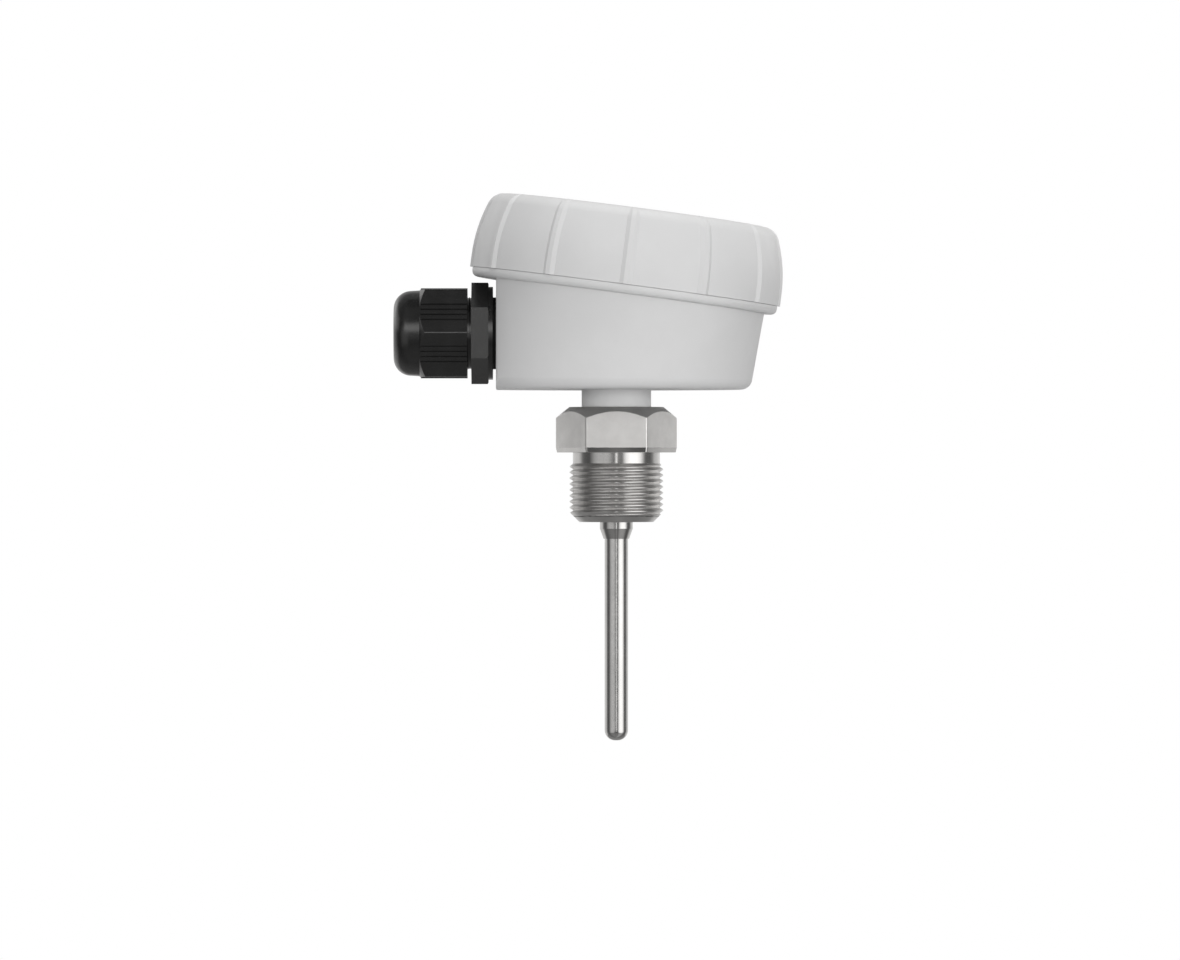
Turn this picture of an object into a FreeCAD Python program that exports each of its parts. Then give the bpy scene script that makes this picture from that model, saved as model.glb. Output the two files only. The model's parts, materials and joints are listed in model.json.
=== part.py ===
import FreeCAD, Part
import math
import os

import Sketcher

# An immersion temperature probe: a stainless stem and process fitting under a moulded connection
# head with a tilted screw lid, and a cable gland on the head's flat side.
#
# The origin lies on the stem's axis where the process thread begins. +Z points up into the head and
# the gland points along -X. Sizes are in millimetres and degrees.

SIZES = {
    # Process fitting, from the thread upwards
    "thread_diameter": 24.0,
    "thread_length": 15.0,
    "thread_chamfer": 2.45,
    "relief_depth": 0.85,
    "relief_length": 2.8,
    "hexagon_shoulder": 1.5,
    "hexagon_height": 11.65,
    "hexagon_crown_inset": 1.45,
    "hexagon_crown_angle": 39.0,
    "hexagon_edge": 0.25,
    "spigot_diameter": 12.0,
    "spigot_chamfer": 0.8,
    # Weld collar under the thread
    "collar_wall": 1.225,
    "collar_length": 1.7,
    "collar_cone": 2.6,
    "collar_lip": 0.25,
    # Stem
    "stem_length": 73.7,
    "tube_diameter": 6.0,
    "tube_wall": 0.5,
    "tip_flat": 0.35,
    "braze_gap": 0.03,
    # Sensing element and what lies in the tube
    "fill_gap": 0.05,
    "bead_diameter": 2.5,
    "bead_length": 3.4,
    "bead_above_tip": 3.7,
    "sleeve_gap": 0.15,
    "sleeve_wall": 0.35,
    "sleeve_length": 24.0,
    "compound_length": 18.0,
    "plug_length": 6.0,
    "lead_diameter": 1.0,
    "lead_gap": 0.4,
    "lead_straight": 0.15,
    "lead_tail": 0.9,
    # Clamping of the head on the spigot
    "clamp_washer_width": 4.0,
    "clamp_washer_thickness": 1.0,
    "clamp_nut_wall": 2.5,
    "clamp_nut_height": 4.0,
    "spigot_spare": 0.9,
    "thread_gap": 0.05,
    "spigot_clearance": 0.2,
    "neck_seal_section": 1.6,
    # Housing
    "neck_wall": 1.1,
    "neck_length": 4.45,
    "floor_thickness": 2.6,
    "wall_thickness": 2.4,
    "wall_radius": 36.2,
    "wall_draft": 2.8,
    "outside_fillet": 2.9,
    "inside_fillet": 1.0,
    "gland_flat_depth": 5.5,
    "gland_wall": 3.0,
    "locknut_floor_gap": 1.3,
    "rim_tilt": 7.4,
    "rim_offset": 2.2,
    "rim_gap": 0.93,
    "flange_thickness": 2.25,
    "flange_fillet": 1.5,
    "rim_collar_inset": 0.6,
    "rim_collar_wall": 2.2,
    "rim_collar_height": 8.5,
    # Lid
    "parting_gap": 0.1,
    "lid_thread_depth": 1.0,
    "lid_wall": 2.75,
    "lid_overhang": 0.05,
    "lid_height": 19.8,
    "lid_straight": 3.0,
    "lid_barrel_radius": 38.5,
    "lid_corner_fillet": 4.0,
    "lid_top_thickness": 1.8,
    "lid_shoulder_width": 2.0,
    "lid_mouth_chamfer": 0.6,
    "lid_rib_count": 12,
    "lid_rib_height": 0.65,
    "lid_rib_crest": 1.2,
    "lid_rib_root": 3.2,
    "lid_rib_depth": 0.8,
    "lid_rib_turn": 21.0,
    "lid_rib_tail_radius": 3.7,
    "lid_rib_tail_turn": 100.0,
    "lid_gasket_thickness": 1.5,
    "lid_gasket_width": 2.6,
    "lid_gasket_side_gap": 0.4,
    "gasket_gap": 0.05,
    # Circuit board on its pillars
    "board_height": 11.0,
    "board_thickness": 1.6,
    "board_front_edge": 8.0,
    "board_side_edge": 5.0,
    "board_corner": 3.0,
    "board_back_edge": 5.6,
    "pillar_wall": 2.0,
    "pillar_position": 6.0,
    "pillar_inset": 15.8,
    "board_screw_diameter": 3.0,
    "board_screw_length": 8.0,
    "board_screw_head_diameter": 5.6,
    "board_screw_head_height": 2.1,
    "board_screw_slot": 0.8,
    "screw_gap": 0.05,
    "board_hole_clearance": 0.2,
    # Terminal block, with heights above the board
    "pole_pitch": 5.08,
    "block_position": 8.0,
    "block_back_wall": 0.4,
    "block_side_wall": 0.84,
    "block_front_wall": 1.0,
    "block_roof": 1.5,
    "block_front_chamfer": 1.6,
    "block_middle_wall": 0.88,
    "cage_back_gap": 1.0,
    "cage_length": 4.4,
    "cage_wall": 0.6,
    "cage_floor": 0.7,
    "cage_roof": 1.0,
    "cage_side_gap": 0.2,
    "cage_board_gap": 0.3,
    "cage_travel": 1.9,
    "cage_stop_gap": 0.3,
    "bar_thickness": 0.7,
    "bar_side_gap": 0.3,
    "bar_roof_gap": 0.6,
    "pin_width": 0.9,
    "pin_tail": 1.2,
    "clamp_screw_diameter": 2.5,
    "clamp_screw_head_diameter": 3.4,
    "clamp_screw_head_height": 1.2,
    "clamp_screw_slot": 0.5,
    "clamp_screw_slot_depth": 0.6,
    "clamp_screw_gap": 0.2,
    "driver_hole_step": 0.3,
    # Cable gland, with distances out from the housing's flat
    "gland_gasket_width": 1.2,
    "gland_gasket_thickness": 0.9,
    "gland_ring_overhang": 0.65,
    "gland_ring_thickness": 1.1,
    "gland_hexagon_shoulder": 2.15,
    "gland_hexagon_height": 4.4,
    "gland_hexagon_bevel": 0.2,
    "gland_shank_diameter": 16.0,
    "gland_shank_inside": 9.0,
    "gland_hole_clearance": 0.15,
    "nut_thread_diameter": 18.2,
    "nut_thread_length": 8.6,
    "finger_length": 6.5,
    "finger_step": 1.1,
    "finger_lean": 1.0,
    "finger_wall": 1.4,
    "finger_seat_depth": 2.0,
    "finger_seat_width": 1.0,
    "finger_slot": 1.0,
    "finger_slot_count": 8,
    "locknut_wall": 2.5,
    "locknut_height": 4.6,
    "nut_gap": 1.0,
    "nut_grip_length": 12.2,
    "nut_wall": 2.1,
    "nut_crown_angle": 40.0,
    "nut_corner_radius": 0.8,
    "nut_dome_step": 0.2,
    "nut_dome_fillet": 4.5,
    "nut_dome_taper": 3.5,
    "nut_mouth_step": 1.85,
    "nut_mouth_length": 1.0,
    "nut_thread_gap": 0.2,
    "nut_thread_spare": 2.0,
    "nut_cone_gap": 0.6,
    "nut_cone_reach": 1.3,
    "nut_shoulder_length": 2.5,
    "nut_ridge_count": 4,
    "nut_ridge_pitch": 1.5,
    "nut_ridge_root": 0.9,
    "nut_ridge_crest": 0.5,
    "nut_ridge_height": 0.3,
    "seal_wall": 1.75,
    "seal_gap": 0.1,
    "seal_travel": 1.2,
    "seal_collar_inset": 0.4,
    "seal_collar_length": 0.8,
}

document = FreeCAD.newDocument("thermistor_probe")
dim = document.addObject("Spreadsheet::Sheet", "dim")
for row, (alias, size) in enumerate(SIZES.items(), start=1):
    dim.set(f"A{row}", alias)
    dim.set(f"B{row}", str(size))
    dim.setAlias(f"B{row}", alias)
document.recompute()

sub_parts = []

# Sizes and places that several pieces share
SEAT = "dim.relief_length"
HEXAGON_FLATS = "(dim.thread_diameter + 2 * dim.hexagon_shoulder)"
HEXAGON_TOP = f"({SEAT} + dim.hexagon_height)"
UNDERSIDE = f"({HEXAGON_TOP} + dim.neck_length)"
FLOOR = f"({UNDERSIDE} + dim.floor_thickness)"
CLAMP_NUT_SEAT = f"({FLOOR} + dim.clamp_washer_thickness)"
SPIGOT_TOP = f"({CLAMP_NUT_SEAT} + dim.clamp_nut_height + dim.spigot_spare)"
TIP = f"({SEAT} - dim.stem_length)"
TIP_RADIUS = "(dim.tube_diameter / 2 - dim.tip_flat)"
SLEEVE_BORE = "(dim.bead_diameter / 2 + dim.sleeve_gap)"
SLEEVE_RADIUS = f"({SLEEVE_BORE} + dim.sleeve_wall)"
LEAD_OFFSET = "((dim.lead_diameter + dim.lead_gap) / 2)"
GLAND_FACE = "(dim.wall_radius - dim.gland_flat_depth)"
LOCKNUT_FLATS = "(dim.gland_shank_diameter + 2 * dim.locknut_wall)"
GLAND_HEIGHT = f"({FLOOR} + {LOCKNUT_FLATS} / 2 + dim.locknut_floor_gap)"
GLAND_FLATS = "(dim.nut_thread_diameter + 2 * dim.gland_hexagon_shoulder)"
GLAND_CORNER = f"({GLAND_FLATS} / sqrt(3))"
# The rim's underside passes just over the gland's hexagon where it crosses the flat.
RIM_DROP = f"(({GLAND_FACE} + dim.rim_offset) * tan(dim.rim_tilt))"
RIM_HEIGHT = f"({GLAND_HEIGHT} + {GLAND_CORNER} + dim.rim_gap + dim.flange_thickness - {RIM_DROP})"
RIM_COLLAR_RADIUS = "(dim.wall_radius - dim.rim_collar_inset)"
LID_THREAD_RADIUS = f"({RIM_COLLAR_RADIUS} + dim.lid_thread_depth)"
LID_RADIUS = f"({LID_THREAD_RADIUS} + dim.lid_wall)"
LID_SHOULDER_RADIUS = f"({LID_THREAD_RADIUS} - dim.lid_shoulder_width)"
LID_SHOULDER = "(dim.rim_collar_height + dim.lid_gasket_thickness + 2 * dim.gasket_gap)"
FLANGE_RADIUS = f"({LID_RADIUS} - dim.lid_overhang)"
BOARD_UNDERSIDE = f"({FLOOR} + dim.board_height)"
BOARD_TOP = f"({BOARD_UNDERSIDE} + dim.board_thickness)"
PILLAR_OFFSET = "(dim.wall_radius - dim.wall_thickness - dim.pillar_inset)"


def number(expression):
    """The present value of an expression over the sheet's cells."""
    return float(dim.evalExpression(expression))


def new_body(label):
    body = document.addObject("PartDesign::Body", label)
    body.Label = label
    return body


def sub_part(label):
    body = new_body(label)
    sub_parts.append(body)
    return body


def place(item, x="0", y="0", z="0", axis=(0, 0, 1), angle=None):
    """Bind an object's place, and its turn about an axis, to the sheet."""
    turn = number(angle) if angle else 0.0
    rotation = FreeCAD.Rotation(FreeCAD.Vector(*axis), turn)
    item.Placement = FreeCAD.Placement(FreeCAD.Vector(), rotation)
    for letter, expression in zip("xyz", (x, y, z)):
        item.setExpression(f"Placement.Base.{letter}", expression)
    if angle:
        item.setExpression("Placement.Rotation.Angle", angle)


def place_on_rim(item):
    """Stand a piece on the tilted rim: its origin at the rim's centre, its Z along the lid's axis."""
    place(item, x="dim.rim_offset", z=RIM_HEIGHT, axis=(0, 1, 0), angle="dim.rim_tilt")


def place_on_gland_face(item):
    """Stand a piece on the flat gland face: its Z points out of the face, its X points up."""
    place(item, x=f"-{GLAND_FACE}", z=GLAND_HEIGHT, axis=(0, -1, 0), angle="90")


def new_sketch(body, name, role, x="0", y="0", z="0", turn=None):
    """A sketch on one of the body's origin planes, moved by x and y in it and by z off it."""
    plane = next(item for item in body.Origin.OriginFeatures if item.Role == role)
    sketch = body.newObject("Sketcher::SketchObject", name)
    sketch.AttachmentSupport = (plane, [""])
    sketch.MapMode = "FlatFace"
    rotation = FreeCAD.Rotation(FreeCAD.Vector(0, 0, -1), number(turn) if turn else 0.0)
    sketch.AttachmentOffset = FreeCAD.Placement(FreeCAD.Vector(), rotation)
    for letter, expression in zip("xyz", (x, y, z)):
        sketch.setExpression(f"AttachmentOffset.Base.{letter}", expression)
    if turn:
        sketch.setExpression("AttachmentOffset.Rotation.Angle", turn)
    return sketch


def bind(sketch, kind, expression, *places):
    """Add a dimension to a sketch and tie it to an expression."""
    index = sketch.addConstraint(Sketcher.Constraint(kind, *places, number(expression)))
    sketch.setExpression(f"Constraints[{index}]", expression)


def arc_between(start, end, radius):
    """The smaller arc from start to end. It turns left for a positive radius, right for a negative."""
    chord = end - start
    left = FreeCAD.Vector(-chord.y, chord.x, 0).normalize()
    rise = math.sqrt(radius ** 2 - (chord.Length / 2) ** 2)
    centre = (start + end) / 2 + left * math.copysign(rise, radius)
    first, last = (start, end) if radius > 0 else (end, start)
    angles = [math.atan2(point.y - centre.y, point.x - centre.x) for point in (first, last)]
    if angles[1] < angles[0]:
        angles[1] += 2 * math.pi
    circle = Part.Circle(centre, FreeCAD.Vector(0, 0, 1), abs(radius))
    return Part.ArcOfCircle(circle, *angles)


def draw(sketch, corners, closed=True):
    """Draw a line through corners given as pairs of expressions.

    A third entry in a corner makes the stretch to the next corner an arc of that radius.
    """
    points = [FreeCAD.Vector(number(corner[0]), number(corner[1]), 0) for corner in corners]
    stretches = len(corners) if closed else len(corners) - 1
    ends = []
    for index in range(stretches):
        start, end = points[index], points[(index + 1) % len(points)]
        if len(corners[index]) == 2:
            edge = sketch.addGeometry(Part.LineSegment(start, end), False)
            ends.append((edge, 1, 2))
        else:
            radius = number(corners[index][2])
            edge = sketch.addGeometry(arc_between(start, end, radius), False)
            ends.append((edge, 1, 2) if radius > 0 else (edge, 2, 1))
            bind(sketch, "Radius", f"abs({corners[index][2]})", edge)
    for index in range(stretches if closed else stretches - 1):
        edge, _, last = ends[index]
        following, first, _ = ends[(index + 1) % len(ends)]
        sketch.addConstraint(Sketcher.Constraint("Coincident", edge, last, following, first))
    anchors = [(edge, first) for edge, first, _ in ends]
    if not closed:
        anchors.append((ends[-1][0], ends[-1][2]))
    for corner, anchor in zip(corners, anchors):
        bind(sketch, "DistanceX", corner[0], -1, 1, *anchor)
        bind(sketch, "DistanceY", corner[1], -1, 1, *anchor)


def draw_circle(sketch, radius, x="0", y="0"):
    centre = FreeCAD.Vector(number(x), number(y), 0)
    circle = Part.Circle(centre, FreeCAD.Vector(0, 0, 1), number(radius))
    edge = sketch.addGeometry(circle, False)
    bind(sketch, "DistanceX", x, -1, 1, edge, 3)
    bind(sketch, "DistanceY", y, -1, 1, edge, 3)
    bind(sketch, "Radius", radius, edge)


def draw_rectangle(sketch, left, right, bottom, top):
    draw(sketch, [(left, bottom), (right, bottom), (right, top), (left, top)])


def draw_hexagon(sketch, flats, first_corner=0):
    """A hexagon from its size across flats, with a corner at the given angle from the X axis."""
    corners = []
    for step in range(6):
        angle = first_corner + 60 * step
        corners.append((f"{flats} / sqrt(3) * cos({angle})", f"{flats} / sqrt(3) * sin({angle})"))
    draw(sketch, corners)


def revolve(body, name, corners, cut=False, **frame):
    """Turn an outline of radius and height about the body's Z axis, or cut with it."""
    sketch = new_sketch(body, f"{name}_profile", "XZ_Plane", **frame)
    draw(sketch, corners)
    kind = "PartDesign::Groove" if cut else "PartDesign::Revolution"
    feature = body.newObject(kind, name)
    feature.Profile = (sketch, [""])
    feature.ReferenceAxis = (sketch, ["V_Axis"])
    feature.Angle = 360
    document.recompute()
    return feature


def pad(body, name, sketch, length, symmetric=False):
    feature = body.newObject("PartDesign::Pad", name)
    feature.Profile = (sketch, [""])
    feature.setExpression("Length", length)
    if symmetric:
        feature.SideType = "Symmetric"
    document.recompute()
    return feature


def pocket(body, name, sketch, length=None, forward=False):
    """Cut a sketch into the body, against the plane's normal or, if forward, along it."""
    before = body.Shape.Volume
    feature = body.newObject("PartDesign::Pocket", name)
    feature.Profile = (sketch, [""])
    feature.Reversed = forward
    if length:
        feature.setExpression("Length", length)
    else:
        feature.Type = "ThroughAll"
    document.recompute()
    if not body.Shape.Volume < before:
        raise RuntimeError(f"{body.Label}: {name} cuts nothing")
    return feature


def dress(body, name, kind, size, wanted):
    """Round or bevel the edges of the body that the test picks out."""
    document.recompute()
    base = body.Tip
    edges = [f"Edge{index}" for index, edge in enumerate(base.Shape.Edges, 1) if wanted(edge)]
    if not edges:
        raise RuntimeError(f"{body.Label}: {name} finds no edge")
    feature = body.newObject(f"PartDesign::{kind}", name)
    feature.Base = (base, edges)
    feature.setExpression("Radius" if kind == "Fillet" else "Size", size)
    document.recompute()
    return feature


def repeat_round(body, name, feature, count):
    """Repeat a feature evenly round the body's Z axis."""
    axis = next(item for item in body.Origin.OriginFeatures if item.Role == "Z_Axis")
    pattern = body.newObject("PartDesign::PolarPattern", name)
    pattern.Originals = [feature]
    pattern.Axis = (axis, [""])
    pattern.Angle = 360
    pattern.setExpression("Occurrences", count)
    body.Tip = pattern
    document.recompute()
    return pattern


def mirror(body, name, features):
    """Repeat features on the other side of the body's XZ plane."""
    plane = next(item for item in body.Origin.OriginFeatures if item.Role == "XZ_Plane")
    mirrored = body.newObject("PartDesign::Mirrored", name)
    mirrored.Originals = features
    mirrored.MirrorPlane = (plane, [""])
    body.Tip = mirrored
    document.recompute()
    return mirrored


def near(first, second):
    return abs(first - second) < 1e-4


def is_round_edge(radius, height):
    """A test for a whole circle about Z of a given radius and height."""
    def wanted(edge):
        if not isinstance(edge.Curve, Part.Circle):
            return False
        same_size = near(edge.Curve.Radius, number(radius))
        return same_size and near(edge.Curve.Center.z, number(height))
    return wanted


def flat_ring(label, inner, outer, bottom, thickness):
    body = sub_part(label)
    sketch = new_sketch(body, f"{label}_outline", "XY_Plane", z=bottom)
    draw_circle(sketch, outer)
    draw_circle(sketch, inner)
    pad(body, f"{label}_pad", sketch, thickness)
    return body


def hexagon_nut(label, flats, bore, bottom, height, first_corner=0):
    """A hexagon nut with both ends of its corners turned off."""
    body = sub_part(label)
    sketch = new_sketch(body, f"{label}_outline", "XY_Plane", z=bottom)
    draw_hexagon(sketch, flats, first_corner)
    draw_circle(sketch, bore)
    pad(body, f"{label}_pad", sketch, height)
    top = f"({bottom} + {height})"
    corner = f"({flats} / sqrt(3) + 1)"
    drop = f"({corner} - {flats} / 2) * tan(30)"
    for end, level, way in (("lower", bottom, "+"), ("upper", top, "-")):
        crown = [
            (f"{flats} / 2", level),
            (corner, level),
            (corner, f"{level} {way} {drop}"),
        ]
        revolve(body, f"{label}_{end}_crown", crown, cut=True)
    return body


def make_process_fitting():
    """Turned from hexagon bar: spigot, hexagon, relief, process thread and weld collar."""
    body = sub_part("process_fitting")
    hexagon = new_sketch(body, "hexagon_outline", "XY_Plane", z=SEAT)
    draw_hexagon(hexagon, HEXAGON_FLATS)
    pad(body, "hexagon", hexagon, "dim.hexagon_height")
    crown_radius = f"({HEXAGON_FLATS} / 2 - dim.hexagon_crown_inset)"
    corner_radius = f"({HEXAGON_FLATS} / sqrt(3) + 1)"
    crown_drop = f"({corner_radius} - {crown_radius}) * tan(dim.hexagon_crown_angle)"
    crown = [
        (crown_radius, HEXAGON_TOP),
        (corner_radius, HEXAGON_TOP),
        (corner_radius, f"{HEXAGON_TOP} - {crown_drop}"),
    ]
    revolve(body, "hexagon_crown", crown, cut=True)

    def is_lower_edge(edge):
        return all(near(vertex.Z, number(SEAT)) for vertex in edge.Vertexes)

    dress(body, "hexagon_edge", "Chamfer", "dim.hexagon_edge", is_lower_edge)

    thread_radius = "dim.thread_diameter / 2"
    relief_radius = f"({thread_radius} - dim.relief_depth)"
    collar_radius = "(dim.tube_diameter / 2 + dim.collar_wall)"
    lip_radius = "(dim.tube_diameter / 2 + dim.braze_gap + dim.collar_lip)"
    collar_end = "-(dim.thread_length + dim.collar_length)"
    shank = [
        ("0", SEAT),
        (relief_radius, SEAT),
        (relief_radius, "0"),
        (thread_radius, "0"),
        (thread_radius, "dim.thread_chamfer - dim.thread_length"),
        (f"{thread_radius} - dim.thread_chamfer", "-dim.thread_length"),
        (collar_radius, "-dim.thread_length"),
        (collar_radius, collar_end),
        (lip_radius, f"{collar_end} - dim.collar_cone"),
        ("0", f"{collar_end} - dim.collar_cone"),
    ]
    revolve(body, "shank", shank)
    spigot_radius = "dim.spigot_diameter / 2"
    spigot = [
        ("0", HEXAGON_TOP),
        (spigot_radius, HEXAGON_TOP),
        (spigot_radius, f"{SPIGOT_TOP} - dim.spigot_chamfer"),
        (f"{spigot_radius} - dim.spigot_chamfer", SPIGOT_TOP),
        ("0", SPIGOT_TOP),
    ]
    revolve(body, "spigot", spigot)
    bore = new_sketch(body, "tube_bore_outline", "XY_Plane", z=SPIGOT_TOP)
    draw_circle(bore, "dim.tube_diameter / 2 + dim.braze_gap")
    pocket(body, "tube_bore", bore)


def make_probe_tube():
    """A drawn tube with a closed, rounded tip, brazed into the fitting's bore."""
    body = sub_part("probe_tube")
    outer = "dim.tube_diameter / 2"
    inner = f"({outer} - dim.tube_wall)"
    inner_tip_radius = f"({TIP_RADIUS} - dim.tube_wall)"
    inner_tip = f"({TIP} + dim.tube_wall)"
    wall = [
        ("0", TIP),
        ("dim.tip_flat", TIP, TIP_RADIUS),
        (outer, f"{TIP} + {TIP_RADIUS}"),
        (outer, SPIGOT_TOP),
        (inner, SPIGOT_TOP),
        (inner, f"{inner_tip} + {inner_tip_radius}", f"-{inner_tip_radius}"),
        ("dim.tip_flat", inner_tip),
        ("0", inner_tip),
    ]
    revolve(body, "tube_wall", wall)


def make_sensing_element():
    """The bead, its sleeve, the filling round them and the plug at the tube's mouth."""
    bead = document.addObject("Part::Ellipsoid", "thermistor_bead")
    bead.Label = "thermistor_bead"
    bead.setExpression("Radius1", "dim.bead_length / 2")
    bead.setExpression("Radius2", "dim.bead_diameter / 2")
    bead.setExpression("Radius3", "dim.bead_diameter / 2")
    place(bead, z=f"{TIP} + dim.bead_above_tip")
    sub_parts.append(bead)

    sleeve_bottom = f"({TIP} + dim.bead_above_tip - dim.bead_length / 2)"
    flat_ring("bead_sleeve", SLEEVE_BORE, SLEEVE_RADIUS, sleeve_bottom, "dim.sleeve_length")

    compound = sub_part("tip_compound")
    outer = "(dim.tube_diameter / 2 - dim.tube_wall - dim.fill_gap)"
    tip_radius = f"({TIP_RADIUS} - dim.tube_wall - dim.fill_gap)"
    bottom = f"({TIP} + dim.tube_wall + dim.fill_gap)"
    filling = [
        ("0", bottom),
        ("dim.tip_flat", bottom, tip_radius),
        (outer, f"{bottom} + {tip_radius}"),
        (outer, f"{bottom} + dim.compound_length"),
        (f"{SLEEVE_RADIUS} + dim.fill_gap", f"{bottom} + dim.compound_length"),
        (f"{SLEEVE_RADIUS} + dim.fill_gap", f"{sleeve_bottom} - dim.fill_gap"),
        ("0", f"{sleeve_bottom} - dim.fill_gap"),
    ]
    revolve(compound, "filling", filling)

    plug = sub_part("tube_plug")
    outline = new_sketch(plug, "plug_outline", "XY_Plane", z=f"{SPIGOT_TOP} - dim.plug_length")
    draw_circle(outline, outer)
    for side in ("", "-"):
        hole = "dim.lead_diameter / 2 + dim.fill_gap"
        draw_circle(outline, hole, y=f"{side}{LEAD_OFFSET}")
    pad(plug, "plug", outline, "dim.plug_length")


def make_lead(label, side):
    """An insulated lead: straight up the tube, then bent out to its hole in the board."""
    body = sub_part(label)
    start = f"({TIP} + dim.bead_above_tip + dim.bead_length / 2 + dim.fill_gap)"
    inside = LEAD_OFFSET
    outside = "dim.pole_pitch / 2"
    # Two equal arcs between the plug and the board carry the lead out to its hole.
    bend_start = f"({SPIGOT_TOP} + dim.lead_straight)"
    bend_end = f"({BOARD_UNDERSIDE} - dim.lead_tail / 2)"
    bend_middle = f"(({bend_start} + {bend_end}) / 2)"
    middle = f"(({inside} + {outside}) / 2)"
    rise = f"({bend_end} - {bend_start})"
    shift = f"({outside} - {inside})"
    bend = f"((({rise})^2 + ({shift})^2) / (4 * {shift}))"
    away, back = (f"-{bend}", bend) if side > 0 else (bend, f"-{bend}")
    sign = "" if side > 0 else "-"
    path = new_sketch(body, f"{label}_path", "YZ_Plane")
    route = [
        (f"{sign}{inside}", start),
        (f"{sign}{inside}", bend_start, away),
        (f"{sign}{middle}", bend_middle, back),
        (f"{sign}{outside}", bend_end),
        (f"{sign}{outside}", f"{BOARD_TOP} + dim.lead_tail"),
    ]
    draw(path, route, closed=False)
    section = new_sketch(body, f"{label}_section", "XY_Plane", z=start)
    draw_circle(section, "dim.lead_diameter / 2", y=f"{sign}{inside}")
    document.recompute()
    pipe = body.newObject("PartDesign::AdditivePipe", f"{label}_pipe")
    pipe.Profile = (section, [""])
    pipe.Spine = (path, [f"Edge{index}" for index in range(1, len(path.Geometry) + 1)])
    document.recompute()
    length = sum(edge.Length for edge in path.Shape.Edges)
    area = math.pi * number("dim.lead_diameter / 2") ** 2
    if abs(body.Shape.Volume / (length * area) - 1) > 0.001:
        raise RuntimeError(f"{label}: its volume isn't its section times its length")


def draw_drum(body, name, inset, floor, flat, fillet):
    """The round, drafted wall about the lid's axis, cut off by a level floor and the gland's flat."""
    rim = {"x": "dim.rim_offset", "y": RIM_HEIGHT, "turn": "dim.rim_tilt"}
    depth = f"({RIM_HEIGHT} - {UNDERSIDE} + dim.wall_radius)"
    slope = "tan(dim.wall_draft)"
    wall = [
        ("0", "0"),
        (f"dim.wall_radius - {inset} + dim.flange_thickness * {slope}", "0"),
        (f"dim.wall_radius - {inset} + (dim.flange_thickness - {depth}) * {slope}", f"-{depth}"),
        ("0", f"-{depth}"),
    ]
    revolve(body, f"{name}_wall", wall, **rim)
    below = new_sketch(body, f"{name}_floor_outline", "XY_Plane", z=floor)
    draw_circle(below, "2 * dim.wall_radius")
    pocket(body, f"{name}_floor", below)
    beside = new_sketch(body, f"{name}_flat_outline", "YZ_Plane", z=f"-{flat}")
    draw_circle(beside, "2 * dim.wall_radius", y=floor)
    pocket(body, f"{name}_flat", beside)

    def is_rounded(edge):
        on_flat = all(near(vertex.X, -number(flat)) for vertex in edge.Vertexes)
        on_floor = all(near(vertex.Z, number(floor)) for vertex in edge.Vertexes)
        upright = not near(edge.Vertexes[0].Z, edge.Vertexes[-1].Z)
        return upright if on_flat else on_floor

    dress(body, f"{name}_rounding", "Fillet", fillet, is_rounded)


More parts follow.
